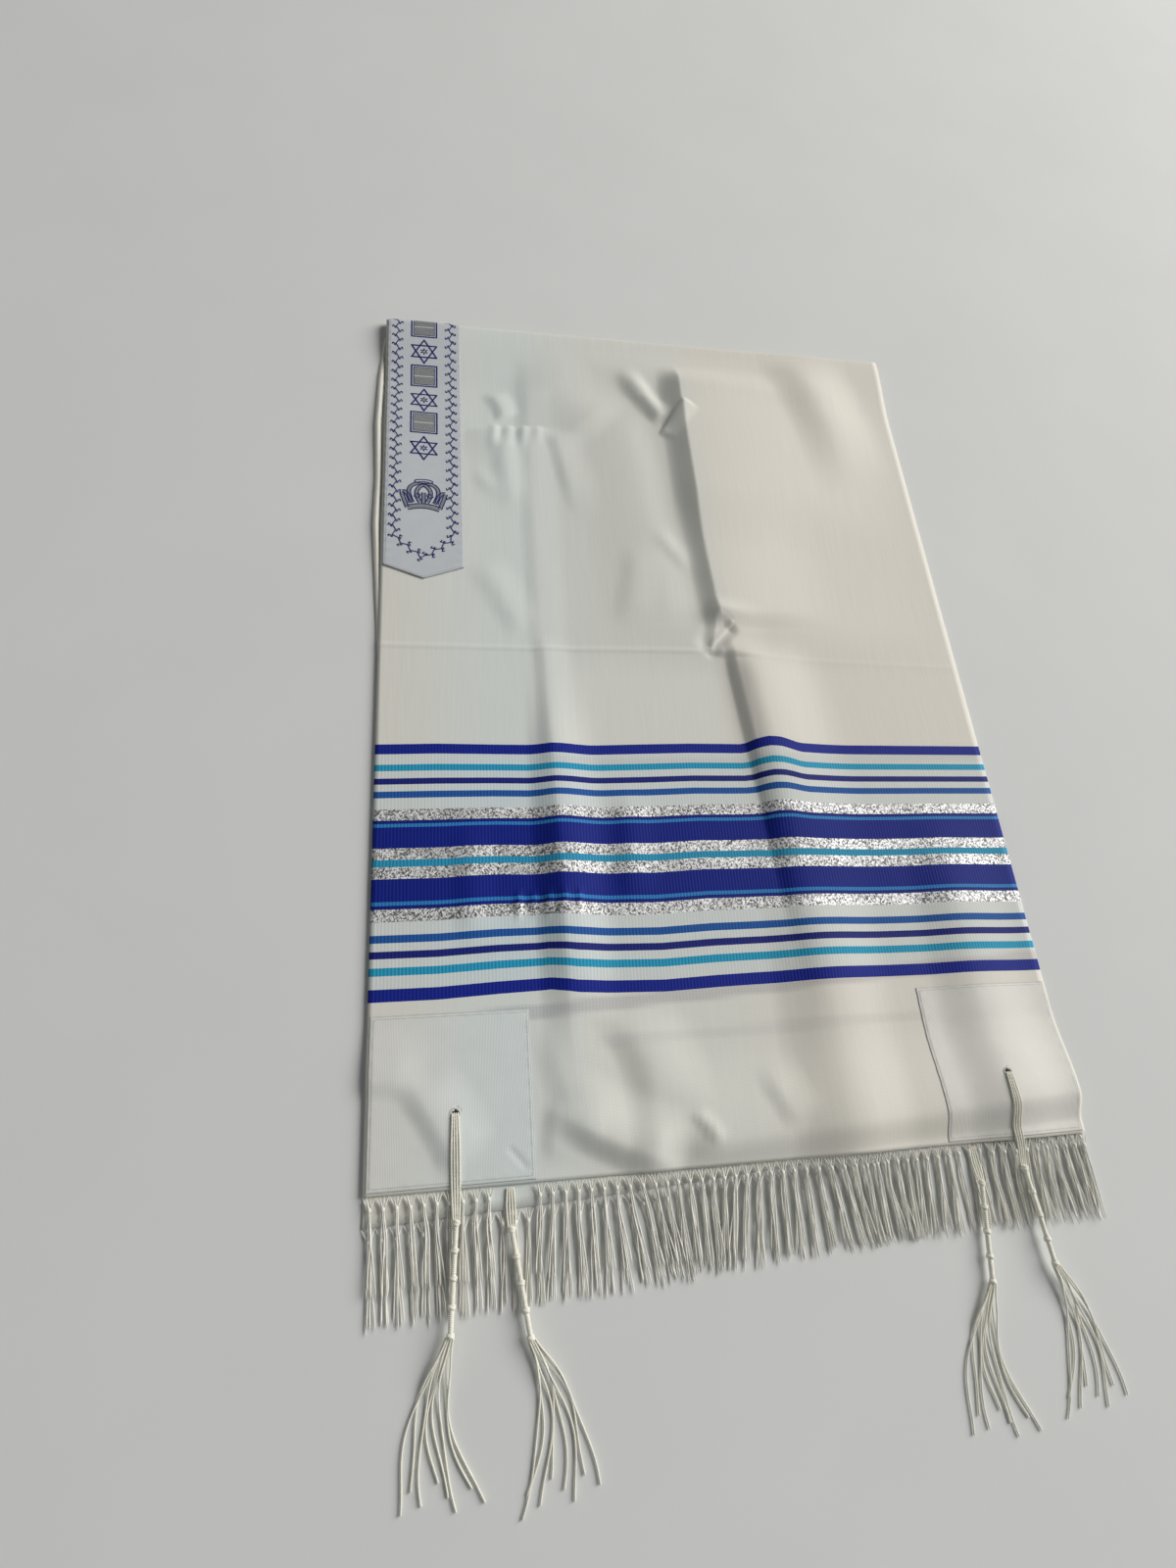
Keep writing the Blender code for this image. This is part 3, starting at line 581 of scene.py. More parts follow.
def cloth_material():
    """Woven acrylic: stripes from the ramp, ribs in the coloured ones, and glitter in the silver ones,
    with glints painted into each flake's colour and real ones from the flakes' tilt in the bump.

    The plain ground has a fine weave and faint streaks along the warp, and is a little darker in
    the bands where the lower layer shows through."""
    material, tree, shader = start_material("striped_cloth", PLAIN_ROUGHNESS, sheen=0.04)
    place = cloth_place(tree)
    u, t, _ = apart(tree, place)
    ramp = stripe_ramp(tree)
    kind = ramp.outputs["Alpha"]
    silver = calc(tree, "GREATER_THAN", kind, 0.5 * (RIBBED + SILVER))
    rib = waves(tree, u, RIB_PERIOD)
    ribs = times(tree, rib, calc(tree, "SUBTRACT", kind, times(tree, silver, kind)))

    cells = scaled(tree, place, FLAKES_PER_METRE)
    glitter = node(tree, "TexVoronoi", {"Vector": cells, "Scale": 1.0})
    brightness, tilt, _ = apart(tree, glitter.outputs["Color"])
    # Painted glints: each foil flake's colour is painted from dark to bright white, as if it caught the
    # light
    glint_stops = [(position, dye(color)) for position, color in PAINTED_FLAKE_GLINTS]
    painted_glints = color_ramp(tree, brightness, glint_stops, "LINEAR")
    patches = noise(tree, place, DULL_PATCHES_PER_METRE, 2.0)
    dull = calc(tree, "SUBTRACT", DULLEST, patches)
    silver_with_painted_glints = mix(tree, dull, painted_glints.outputs["Color"], dye(DULL_SILVER))

    streak = noise(tree, scaled(tree, place, STREAKS_PER_METRE), 1.0, 2.0)
    ground = mix(tree, times(tree, streak, STREAK_DARKNESS), ramp.outputs["Color"], BLACK)
    ribbed = mix(tree, times(tree, ribs, RIB_DARKNESS), ground, BLUE_BLACK)
    bare = calc(tree, "LESS_THAN", kind, 0.5 * RIBBED)
    dots = times(tree, rib, waves(tree, t, DOT_PERIOD))
    veil = times(tree, attribute(tree, "veil"), bare)
    veil = times(tree, veil, calc(tree, "MULTIPLY_ADD", dots, DOT_STRENGTH, VEIL_STRENGTH))
    # The white and the stripes take the painted cool or warm light of their place
    white = tint_by_painted_light(tree, mix(tree, veil, ribbed, dye(VEIL_DYE)))
    tree.links.new(times(tree, silver, SILVER_METAL), shader.inputs["Metallic"])
    roughness = calc(tree, "MULTIPLY_ADD", kind, SILVER_ROUGHNESS - PLAIN_ROUGHNESS, PLAIN_ROUGHNESS)
    tree.links.new(roughness, shader.inputs["Roughness"])

    across, along = WEAVE_PERIODS
    weave = times(tree, waves(tree, u, across), waves(tree, t, along))
    height = calc(tree, "MULTIPLY_ADD", weave, WEAVE_HEIGHT, times(tree, ribs, RIB_HEIGHT))
    height = calc(tree, "MULTIPLY_ADD", tilt, silver, height)
    color = mix(tree, silver, white, silver_with_painted_glints)
    dress(tree, shader, color, height, strength=0.5, distance=0.0004)
    return material


def eyelet_mask(u, t):
    """Which cells of a grid are cloth, outside both eyelets."""
    middle_u = 0.5 * (u[:-1] + u[1:])[None, :]
    middle_t = 0.5 * (t[:-1] + t[1:])[:, None]
    aside = np.minimum(np.abs(middle_u - EYELET_U), np.abs(middle_u - WIDTH + EYELET_U))
    return np.hypot(aside, middle_t - EYELET_V) > EYELET_CUT


cloth = cloth_material()
upper_u = stations(UPPER_COLUMNS)
upper_t = stations(UPPER_ROWS)
grid_u, grid_t = upper_u[None, :], upper_t[:, None]
# Each point's stripe distance, show-through, and how warm its painted light is
upper_values = {
    "stripe": stripe_distance(grid_u, grid_t),
    "veil": veil_strength(grid_u, grid_t),
    "warmth": warmth(grid_u, grid_t),
}
upper = sheet_mesh(
    "cloth_upper",
    cloth_point(grid_u, grid_t, -CLOTH_THICK),
    grid_u,
    grid_t,
    upper_values,
    eyelet_mask(upper_u, upper_t),
)
thicken(upper, CLOTH_THICK)
finish_piece(upper, cloth, "cloth", "upper_half")


# Lower layer of the cloth
# The other half of the same length, flat on the surface with its back up. It shows past the
# upper one as a curled selvedge along the neck edge and as a strip along the hem.
NeckShow = namedtuple("NeckShow", "v out curl")
LOWER_NECK = (
    NeckShow(0.0, 0.0, 0.0),
    NeckShow(0.25, -0.006, 0.0),
    NeckShow(0.45, -0.001, 0.0004),
    NeckShow(0.56, 0.005, 0.0020),
    NeckShow(0.62, 0.008, 0.0036),
    NeckShow(0.68, 0.007, 0.0028),
    NeckShow(0.75, 0.009, 0.0040),
    NeckShow(0.82, 0.007, 0.0024),
    NeckShow(HALF_LENGTH, 0.0, 0.0),
)
HemShow = namedtuple("HemShow", "u out")
LOWER_HEM = (
    HemShow(0.0, 0.021),
    HemShow(0.20, 0.013),
    HemShow(0.40, 0.001),
    HemShow(WIDTH, -0.006),
)
LOWER_COLUMNS = ((0.012, 8), (0.06, 6), (WIDTH, 27))
LIP_GAP = 0.0003
LOWER_ROWS = ((ROLL_START - LIP - LIP_GAP, 110),)
CURL_WIDTH = 0.006
CURL_CREST = 0.4


def lower_hem_out(u):
    """How far the lower hem lies past the upper one."""
    return look_up(LOWER_HEM, "out", u)


lower_u = stations(LOWER_COLUMNS)[None, :]
lower_v = stations(LOWER_ROWS)[:, None]
neck_out = look_up(LOWER_NECK, "out", lower_v)
curl = look_up(LOWER_NECK, "curl", lower_v)
lower_x = EDGE_X + lower_u - neck_out * (1.0 - lower_u / WIDTH)
lower_y = HEM_Y + lower_v - lower_hem_out(lower_u) * (1.0 - lower_v / HALF_LENGTH)
lower_z = curl * np.cos(np.pi * np.clip(lower_u / CURL_WIDTH - CURL_CREST, -0.5, 0.5))
# The lower layer: its stripes, no show-through, and how warm its painted light is
lower_values = {
    "stripe": stripe_distance(lower_u, lower_v),
    "veil": 0.0 * lower_u * lower_v,
    "warmth": warmth(lower_u, lower_v),
}
lower_points = points_of(lower_x, lower_y, lower_z)
lower = sheet_mesh("cloth_lower", lower_points, lower_u, 2 * HALF_LENGTH - lower_v, lower_values)
thicken(lower, CLOTH_THICK)
finish_piece(lower, cloth, "cloth", "lower_half")


# Collar band
# The atarah: a band of bluish satin with a pointed end, sewn along the neck edge and taken round
# the fold, with an ornament woven into it in blue and silver thread.
BAND_START = 0.002
BAND_WIDTH = 0.080
BAND_SHOULDER = 0.562
BAND_POINT = 0.015
BAND_THICK = 0.0005
BAND_GAP = 0.0003
BAND_TUCK = 0.0006
BAND_TUCK_REACH = 0.0012
BAND_END = ROLL_START + 2.2 * ROLL_RADIUS
BAND_COLUMNS = 34
BAND_ROWS = 150
BAND_DYE = (211, 213, 220)
BAND_PUCKER = 0.00035
BAND_PUCKER_PERIOD = 0.011
BAND_PUCKER_REACH = 0.012
BAND_SEAM = 0.0026
# The band's painted light lies halfway between the painted cool reflection and the painted warm light
BAND_PAINTED_WARMTH = 0.5
SEAM_HALF_WIDTH = 0.0007
# Painted shade along the seam's groove
PAINTED_SEAM_SHADE = 0.35
SEAM_DEPTH = 2.0
# Painted shadow along the edge of the band and of the patches
EDGE_SHADE_REACH = 0.0014
PAINTED_EDGE_SHADE = 0.7
TWILL_PERIOD = 0.0012
TWILL_DARKNESS = 0.06
CLOUDS_PER_METRE = 55.0
CLOUD_DARKNESS = 0.16
# Painted shade and gleam: a shaded and a gleaming copy of a colour
SHADED = 0.72
GLEAMING = 1.25


def from_ends(x, start, length):
    """Distance inwards from the nearer end of a stretch."""
    return np.minimum(x - start, start + length - x)


def band_out(u, t):
    """How far the band's face lies above the cloth: it puckers a little along its two seams, and
    its edges are pressed into the cloth."""
    inwards = from_ends(u, BAND_START, BAND_WIDTH)
    near_seam = smooth_step(1.0 - inwards / BAND_PUCKER_REACH)
    pucker = np.cos(2 * np.pi * t / BAND_PUCKER_PERIOD) * near_seam
    tuck = BAND_TUCK * smooth_step(1.0 - inwards / BAND_TUCK_REACH)
    return BAND_GAP + BAND_PUCKER * (1.0 + pucker) - tuck


def near(tree, distance, reach):
    """1 where a distance is 0, falling evenly to 0 at the reach."""
    return calc(tree, "MAXIMUM", calc(tree, "MULTIPLY_ADD", distance, -1.0 / reach, 1.0), 0.0)


def satin_material(name, color, diagonal, seam):
    """Satin or plain lining cloth: fine slanted twill in the bump, and a soft uneven sheen.

    The cloth draws in along its seam, a fine line that far inside its edge, with shade painted along
    that line, and its edge is darkened with painted shadow."""
    material, tree, shader = start_material(name, roughness=0.46, sheen=0.10)
    place = cloth_place(tree)
    u, t, _ = apart(tree, place)
    twill = waves(tree, calc(tree, "MULTIPLY_ADD", t, diagonal, u), TWILL_PERIOD)
    clouds = noise(tree, place, CLOUDS_PER_METRE, 3.0)
    edge = attribute(tree, "edge")
    rim = near(tree, edge, EDGE_SHADE_REACH)
    line = near(tree, calc(tree, "ABSOLUTE", calc(tree, "SUBTRACT", edge, seam)), SEAM_HALF_WIDTH)
    darker = times(tree, twill, TWILL_DARKNESS)
    # Painted shade in the seam's groove and painted shadow along the edge, with the twill and the clouds
    # of sheen
    for mark, darkness in ((clouds, CLOUD_DARKNESS), (line, PAINTED_SEAM_SHADE), (rim, PAINTED_EDGE_SHADE)):
        darker = calc(tree, "MULTIPLY_ADD", mark, darkness, darker)
    # The satin takes the painted cool or warm light of its place
    made = tint_by_painted_light(tree, mix(tree, darker, dye(color), dye(color, SHADED)))
    height = calc(tree, "MULTIPLY_ADD", line, -SEAM_DEPTH, twill)
    dress(tree, shader, made, height, strength=0.25, distance=0.0003)
    return material


band_stretches = (
    (BAND_TUCK_REACH, 3),
    (BAND_WIDTH - BAND_TUCK_REACH, BAND_COLUMNS),
    (BAND_WIDTH, 3),
)
band_u = BAND_START + stations(band_stretches)[None, :]
off_middle = np.abs(band_u - BAND_START - 0.5 * BAND_WIDTH) / (0.5 * BAND_WIDTH)
band_low = BAND_SHOULDER - BAND_POINT * (1.0 - off_middle)
band_t = band_low + (BAND_END - band_low) * np.linspace(0.0, 1.0, BAND_ROWS + 1)[:, None]
band_points = cloth_point(band_u, band_t, band_out(band_u, band_t))
# Distance in from the band's edge, and the band's even painted light warmth
band_values = {
    "edge": np.minimum((1.0 - off_middle) * 0.5 * BAND_WIDTH, band_t - band_low),
    "warmth": BAND_PAINTED_WARMTH + 0.0 * band_t,
}
band = sheet_mesh("collar_band", band_points, band_u, band_t, band_values)
thicken(band, BAND_THICK)
# The band's seam and edge are darkened with painted shade
band_satin = satin_material("band_satin", BAND_DYE, diagonal=1.0, seam=BAND_SEAM)
finish_piece(band, band_satin, "band_satin", "atarah")


# Ornament of the collar band
# Drawn from plain traditional motifs: a thorn border along both edges and the point, and
# down the middle six-pointed stars, hatched panels and a crown, as flat runs of woven thread.
ORNAMENT_MIDDLE = BAND_START + 0.5 * BAND_WIDTH
BORDER_INSET = 0.0108
BORDER_PERIOD = 0.0125
BORDER_LOW = 0.596
BORDER_TIP = 0.571
BORDER_TOP = BAND_END - 0.004
VINE_SWING = 0.0017
STAR_RADIUS = 0.0158
STAR_LINE = 0.0017
STAR_PLACES = (0.714, 0.783, 0.852)
ROSETTE = (0.0011, 0.0042)
ROSETTE_LINE = 0.0014
PANEL_PLACES = (0.7500, 0.8180, 0.8870)
PANEL_WIDTH = 0.0275
PANEL_HEIGHT = 0.0290
PANEL_OUTLINES = ((0.0, 0.0016), (0.0024, 0.0007))
PANEL_FILL_INSET = 0.0030
PANEL_FILL_REACH = 0.0108
PANEL_FILL_PITCH = 0.0012
PANEL_FILL_LINE = 0.0009
PANEL_BARE = 0.0007
OUTLINE = 0.0011
OUTLINE_GAP = 0.0001
THREAD_LIFT = 0.00012
STROKE_STEP = 0.0012
CORNER_REACH = 0.4
STITCHES_PER_METRE = 900.0
BLUE_THREAD = (40, 47, 108)
SILVER_THREAD = (150, 154, 152)

# Strokes of a thorn: two ends, each so far along the vine and aside from its corner, and a width
THORN = (
    ((0.0016, 0.0), (-0.0016, 0.0036), 0.0012),
    ((-0.0016, 0.0036), (0.0014, 0.0042), 0.0010),
    ((0.0030, 0.0), (0.0014, 0.0024), 0.0008),
)

# Crown: each curve's start, the point that it bends towards and its end, from the crown's middle.
# The side ones are the outer and inner wing and the outer and inner arch.
CROWN_PLACE = 0.649
CROWN_BASE = ((-0.0165, -0.0160), (0.0, -0.0090), (0.0165, -0.0160))
CROWN_STEM = ((0.0, -0.0090), (0.0, -0.0020), (0.0, 0.0050))
CROWN_SIDE = (
    ((0.0165, -0.0155), (0.0205, -0.0040), (0.0225, 0.0045)),
    ((0.0215, 0.0045), (0.0165, 0.0075), (0.0130, -0.0095)),
    ((0.0110, -0.0090), (0.0230, 0.0160), (0.0, 0.0175)),
    ((0.0035, -0.0080), (0.0125, 0.0080), (0.0, 0.0150)),
)
CROWN_BASE_WIDTH = 0.0056
CROWN_BAND_WIDTH = 0.0034
SCROLL_PLACE = (0.0062, 0.0015)
SCROLL_RADII = (0.0012, 0.0040)
SCROLL_TURNS = 0.95
SCROLL_POINTS = 22
KNOB_UP = 0.0195
KNOB_RADII = (0.0095, 0.0026)
KNOB_POINTS = 24


def along_path(points, step=STROKE_STEP):
    """A path of u, t points, resampled at even steps."""
    points = np.asarray(points, dtype=float)
    reached = np.append(0.0, np.cumsum(np.hypot(*np.diff(points, axis=0).T)))
    count = max(3, int(reached[-1] / step) + 2)
    wanted = np.linspace(0.0, reached[-1], count)
    return points_of(*[np.interp(wanted, reached, points[:, k]) for k in (0, 1)])


def headings(path):
    """The direction of a path at each of its points, and the one square to it."""
    heading = np.gradient(path, axis=0)
    heading = heading / np.linalg.norm(heading, axis=-1, keepdims=True)
    return heading, points_of(-heading[:, 1], heading[:, 0])


def stroke(points, width, aside=0.0):
    """Flat run of thread along a path, moved aside from it. Returns two rows of u, t points."""
    path = along_path(points)
    _, normal = headings(path)
    return np.stack([path + normal * (aside - 0.5 * width), path + normal * (aside + 0.5 * width)])


def lines(points, width):
    """One stroke for each side of a closed figure, lengthened a little so that its corners meet."""
    made = []
    for a, b in zip(points, np.roll(points, -1, axis=0)):
        reach = CORNER_REACH * width * (b - a) / np.linalg.norm(b - a)
        made.append(stroke([a - reach, b + reach], width))
    return made


def regular(u, t, radius, corners, turn=0.0):
    """Corners of a regular figure."""
    angle = turn + 2 * np.pi * np.arange(corners) / corners
    return points_of(u + radius * np.sin(angle), t + radius * np.cos(angle))


def curve(a, b, c, steps=14):
    """Points of a curve from a to c that leaves and arrives towards b."""
    x = np.linspace(0.0, 1.0, steps)[:, None]
    a, b, c = (np.array(p) for p in (a, b, c))
    return (1 - x) ** 2 * a + 2 * x * (1 - x) * b + x**2 * c


def star(t):
    """Two triangles laid over each other, with a small rosette in the middle."""
    made = []
    for turn in (0.0, np.pi):
        made += lines(regular(ORNAMENT_MIDDLE, t, STAR_RADIUS, 3, turn), STAR_LINE)
    petals = zip(*[regular(ORNAMENT_MIDDLE, t, radius, 6) for radius in ROSETTE])
    return made + [stroke([a, b], ROSETTE_LINE) for a, b in petals]


def panel_frame(t):
    """Double outline of a panel."""
    made = []
    for inset, width in PANEL_OUTLINES:
        half_u = 0.5 * PANEL_WIDTH - inset
        half_t = 0.5 * PANEL_HEIGHT - inset
        corners = [(-half_u, -half_t), (half_u, -half_t), (half_u, half_t), (-half_u, half_t)]
        made += lines(np.array(corners) + (ORNAMENT_MIDDLE, t), width)
    return made


def panel_fill(t):
    """Close rows of silver thread in a panel, parted by a bare line across its middle."""
    half_u = 0.5 * PANEL_WIDTH - PANEL_FILL_INSET
    rows = np.arange(-PANEL_FILL_REACH, PANEL_FILL_REACH + 0.0001, PANEL_FILL_PITCH)
    left, right = ORNAMENT_MIDDLE - half_u, ORNAMENT_MIDDLE + half_u
    rows = t + rows[np.abs(rows) > PANEL_BARE]
    return [stroke([(left, row), (right, row)], PANEL_FILL_LINE) for row in rows]


def crown_paths():
    """Paths and widths of the crown's broad bands: its base, stem, two wings and arches."""
    paths = [(curve(*CROWN_BASE), CROWN_BASE_WIDTH), (curve(*CROWN_STEM), CROWN_BAND_WIDTH)]
    for side in (-1.0, 1.0):
        paths += [(curve(*points) * (side, 1.0), CROWN_BAND_WIDTH) for points in CROWN_SIDE]
    return [(path + (ORNAMENT_MIDDLE, CROWN_PLACE), width) for path, width in paths]


def crown_scrolls():
    """Paths of the crown's thin lines: scrolls between the arches and the knob on top."""
    aside, up = SCROLL_PLACE
    small, large = SCROLL_RADII
    turn = np.linspace(0.0, SCROLL_TURNS * 2 * np.pi, SCROLL_POINTS)
    radius = small + (large - small) * turn / turn[-1]
    scroll_t = CROWN_PLACE + up + radius * np.sin(turn)
    paths = []
    for side in (-1.0, 1.0):
        scroll_u = ORNAMENT_MIDDLE + side * (aside + radius * np.cos(turn))
        paths.append(points_of(scroll_u, scroll_t))
    turn = np.linspace(0.0, 2 * np.pi, KNOB_POINTS)
    wide, high = KNOB_RADII
    knob_t = CROWN_PLACE + KNOB_UP + high * np.sin(turn)
    return paths + [points_of(ORNAMENT_MIDDLE + wide * np.cos(turn), knob_t)]


def border_axis():
    """Line that the border follows: down one edge, round the point and up the other."""
    left = BAND_START + BORDER_INSET
    right = BAND_START + BAND_WIDTH - BORDER_INSET
    tip = (ORNAMENT_MIDDLE, BORDER_TIP)
    corners = [(left, BORDER_TOP), (left, BORDER_LOW), tip, (right, BORDER_LOW), (right, BORDER_TOP)]
    return along_path(corners, BORDER_PERIOD / 2)


def border():
    """Thorny vine: a zigzag along the axis, with a hooked thorn at every corner."""
    axis = border_axis()
    heading, normal = headings(axis)
    sign = np.where(np.arange(len(axis)) % 2 == 0, 1.0, -1.0)[:, None]
    zigzag = axis + VINE_SWING * sign * normal
    made = [stroke([a, b], OUTLINE) for a, b in zip(zigzag[:-1], zigzag[1:])]
    for corner, way, side in zip(zigzag, heading, sign * normal):
        for start, end, width in THORN:
            ends = [corner + along * way + aside * side for along, aside in (start, end)]
            made.append(stroke(ends, width))
    return made


def joined_mesh(name, grids, wrap):
    """One piece of many grids of points. wrap closes each grid round its columns, as on a cord."""
    quads = []
    start = 0
    for grid in grids:
        rows, columns = grid.shape[:2]
        index = start + np.arange(rows * columns).reshape(rows, columns)
        if wrap:
            index = np.hstack([index, index[:, :1]])
        quads.append(grid_cells(index).reshape(-1, 4))
        start += rows * columns
    points = np.concatenate([grid.reshape(-1, 3) for grid in grids])
    return new_piece(name, points, np.concatenate(quads))


def thread_material(name, color, glint):
    """Woven thread: painted shade and gleam that change from stitch to stitch, and the gloss of filament.
    """
    material, tree, shader = start_material(name, roughness=0.42, sheen=0.05)
    place = node(tree, "TexCoord").outputs["Object"]
    stitches = noise(tree, place, STITCHES_PER_METRE, 1.0)
    # Painted light: each stitch is painted between a shaded and a gleaming copy of the thread's colour
    dress(tree, shader, mix(tree, stitches, dye(color, SHADED), dye(color, GLEAMING)))
    shader.inputs["Metallic"].default_value = glint
    return material


def sewn_on(strokes, face, out):
    """World grids of strokes, that far out of the face whose height above the cloth is given."""
    places = [(s[..., 0], s[..., 1]) for s in strokes]
    return [cloth_point(u, t, face(u, t) + out)[::-1] for u, t in places]


fills = [piece for t in PANEL_PLACES for piece in panel_fill(t)]
fills += [stroke(path, width) for path, width in crown_paths()]
silver_grids = sewn_on(fills, band_out, BAND_THICK + THREAD_LIFT)
silver_ornament = joined_mesh("ornament_silver", silver_grids, wrap=False)
silver_thread = thread_material("silver_thread", SILVER_THREAD, glint=0.3)
finish_piece(silver_ornament, silver_thread, "band_satin")

outlines = border()
outlines += [piece for t in STAR_PLACES for piece in star(t)]
outlines += [piece for t in PANEL_PLACES for piece in panel_frame(t)]
for path, width in crown_paths():
    outlines += [stroke(path, OUTLINE, side * (0.5 * width + OUTLINE_GAP)) for side in (-1, 1)]
outlines += [stroke(path, OUTLINE) for path in crown_scrolls()]
blue_grids = sewn_on(outlines, band_out, BAND_THICK + 2 * THREAD_LIFT)
blue_ornament = joined_mesh("ornament_blue", blue_grids, wrap=False)
blue_thread = thread_material("blue_thread", BLUE_THREAD, glint=0.0)
finish_piece(blue_ornament, blue_thread, "band_satin")


# Corner patches
# Squares of thin plain cloth sewn over the corners with a line of small stitches along each side.
PATCH_INSET = 0.002
PATCH_SIDE = 0.126
PATCH_THICK = 0.00015
PATCH_GAP = 0.00028
PATCH_TUCK = 0.00026
PATCH_TUCK_REACH = 0.0030
PATCH_CELLS = 56
PATCH_RIPPLE = 0.00012
PATCH_RIPPLE_PERIODS = (0.0127, 0.0143)
PATCH_RIPPLE_REACH = 0.010
PATCH_DYE = (233, 234, 233)
SEAM_INSET = 0.0026
STITCH_LENGTH = 0.0026
STITCH_PITCH = 0.0036
STITCH_WIDTH = 0.0004
WHITE_THREAD = (208, 210, 206)


def patch_out(u, v, u_start):
    """How far a patch lies above the cloth: it draws up a little between the seam's stitches, and
    its edge is pressed into the cloth."""
    inwards = np.minimum(from_ends(u, u_start, PATCH_SIDE), from_ends(v, PATCH_INSET, PATCH_SIDE))
    along_u, along_v = PATCH_RIPPLE_PERIODS
    ripple = np.cos(2 * np.pi * u / along_u) * np.cos(2 * np.pi * v / along_v)
    ripple = ripple * smooth_step(1.0 - inwards / PATCH_RIPPLE_REACH)
    tuck = PATCH_TUCK * smooth_step(1.0 - inwards / PATCH_TUCK_REACH)
    return PATCH_GAP + PATCH_RIPPLE * (1.0 + ripple) - tuck


def stitch_strokes(u_start):
    """Every stitch of the seam round a patch."""
    low = np.array((u_start, PATCH_INSET)) + SEAM_INSET
    side = PATCH_SIDE - 2 * SEAM_INSET
    made = []
    for place in np.arange(0.0, side - STITCH_LENGTH, STITCH_PITCH):
        for across in (0.0, side):
            ends = np.array([(place, across), (place + STITCH_LENGTH, across)])
            made += [stroke(low + ends, STITCH_WIDTH), stroke(low + ends[:, ::-1], STITCH_WIDTH)]
    return made


def make_patch(name, u_start, material, thread, cad_node):
    """A patch with its seam, and an eyelet's hole where the upper layer has one."""
    edge, end = PATCH_TUCK_REACH, PATCH_SIDE - PATCH_TUCK_REACH
    along = stations(((edge, 4), (end, PATCH_CELLS), (PATCH_SIDE, 4)))
    from_edge = from_ends(along, 0.0, PATCH_SIDE)
    u, v = u_start + along, PATCH_INSET + along
    mask = eyelet_mask(u, v)
    u, v = u[None, :], v[:, None]
    # The patch takes the painted cool or warm light of its place, as the cloth does
    values = {"edge": np.minimum(from_edge[None, :], from_edge[:, None]), "warmth": warmth(u, v)}
    made = sheet_mesh(name, cloth_point(u, v, patch_out(u, v, u_start)), u, v, values, mask)
    thicken(made, PATCH_THICK)
    finish_piece(made, material, "patch_cloth", cad_node)
    stitches = stitch_strokes(u_start)
    grids = sewn_on(stitches, lambda u, v: patch_out(u, v, u_start), PATCH_THICK + THREAD_LIFT)
    seam = joined_mesh(name + "_seam", grids, wrap=False)
    finish_piece(seam, thread, "patch_cloth")
    return made, seam


# The patches' seams and edges are darkened with painted shade
patch_cloth = satin_material("patch_cloth", PATCH_DYE, diagonal=0.0, seam=SEAM_INSET)
white_thread = thread_material("white_thread", WHITE_THREAD, glint=0.0)
neck_patch = make_patch("patch_neck", PATCH_INSET, patch_cloth, white_thread, "corner_patch_neck")
outer_start = WIDTH - PATCH_INSET - PATCH_SIDE
outer_patch = make_patch("patch_outer", outer_start, patch_cloth, white_thread, "corner_patch_outer")


# Eyelet rims
# Buttonhole stitch round each eyelet: a low ring of thread whose outer edge is scalloped.
RIM_RADIUS = 0.0036
RIM_THICK = 0.0009
RIM_STITCHES = 26
RIM_RINGS = 8
STITCH_POINTS = 6
RIM_WAVE = 0.2
RIM_FLATNESS = 0.7
RIM_BASE = PATCH_GAP + PATCH_THICK + PATCH_RIPPLE


def rim_grid(u_middle):
    """Half a torus round an eyelet, its height and width waved once for each stitch."""
    around = np.linspace(0.0, 2 * np.pi, RIM_STITCHES * STITCH_POINTS, endpoint=False)[None, :]
    section = np.linspace(0.0, np.pi, RIM_RINGS)[:, None]
    thick = RIM_THICK * (1.0 - RIM_WAVE + RIM_WAVE * np.cos(RIM_STITCHES * around))
    radius = RIM_RADIUS + thick * np.cos(section)
    u = u_middle + radius * np.cos(around)
    v = EYELET_V + radius * np.sin(around)
    return cloth_point(u, v, RIM_BASE + RIM_FLATNESS * thick * np.sin(section))


for rim_name, rim_u in (("eyelet_rim_neck", EYELET_U), ("eyelet_rim_outer", WIDTH - EYELET_U)):
    rim = joined_mesh(rim_name, [rim_grid(rim_u)], wrap=True)
    finish_piece(rim, white_thread, "patch_cloth")


# Fringe
# Warp ends of the cloth left long past each hem and knotted into bundles of fine yarn, which
# come down from the hem and lie in uneven directions.
FRINGE_STRANDS = 62
FRINGE_LENGTH = 0.068
FRINGE_RINGS = 16
FRINGE_PARTING = 0.016
FRINGE_CHANCE = 7
HEM_GAP = 0.0003
YARNS = 4
YARN_RADIUS = 0.00055
YARN_SIDES = 5
YARN_STAGGER = 0.9
YARN_WAVE = 0.0016
YARN_WAVES = 0.8
WAVE_RUN_IN = 0.3
SHORTEST_YARN = 0.88
KNOT_PLACE = 0.14
KNOT_SIZE = 0.0016
KNOT_REACH = 0.14
KNOT_STRETCH = 1.25
KNOT_OPENING = 0.04
HEM_SPREAD = 0.42
KNOT_SPREAD = 0.06
END_SPREAD = 0.26
FALL_SHARE = 0.55
FLOOR_GAP = 0.0003
LEANS = ((8.0, 37.0, 0.0), (2.0, 118.0, 2.0))
SWAY_CALM = 0.06
CORD_TIP = 0.1
PLIES = 2
PLY_DEPTH = 0.16
PLY_TURN = 0.0042
YARN_DYE = (243, 241, 232)
YARN_SHADES = (0.90, 1.04)
TUFTS_PER_METRE = 160.0
FIBRES_PER_METRE = 2600.0

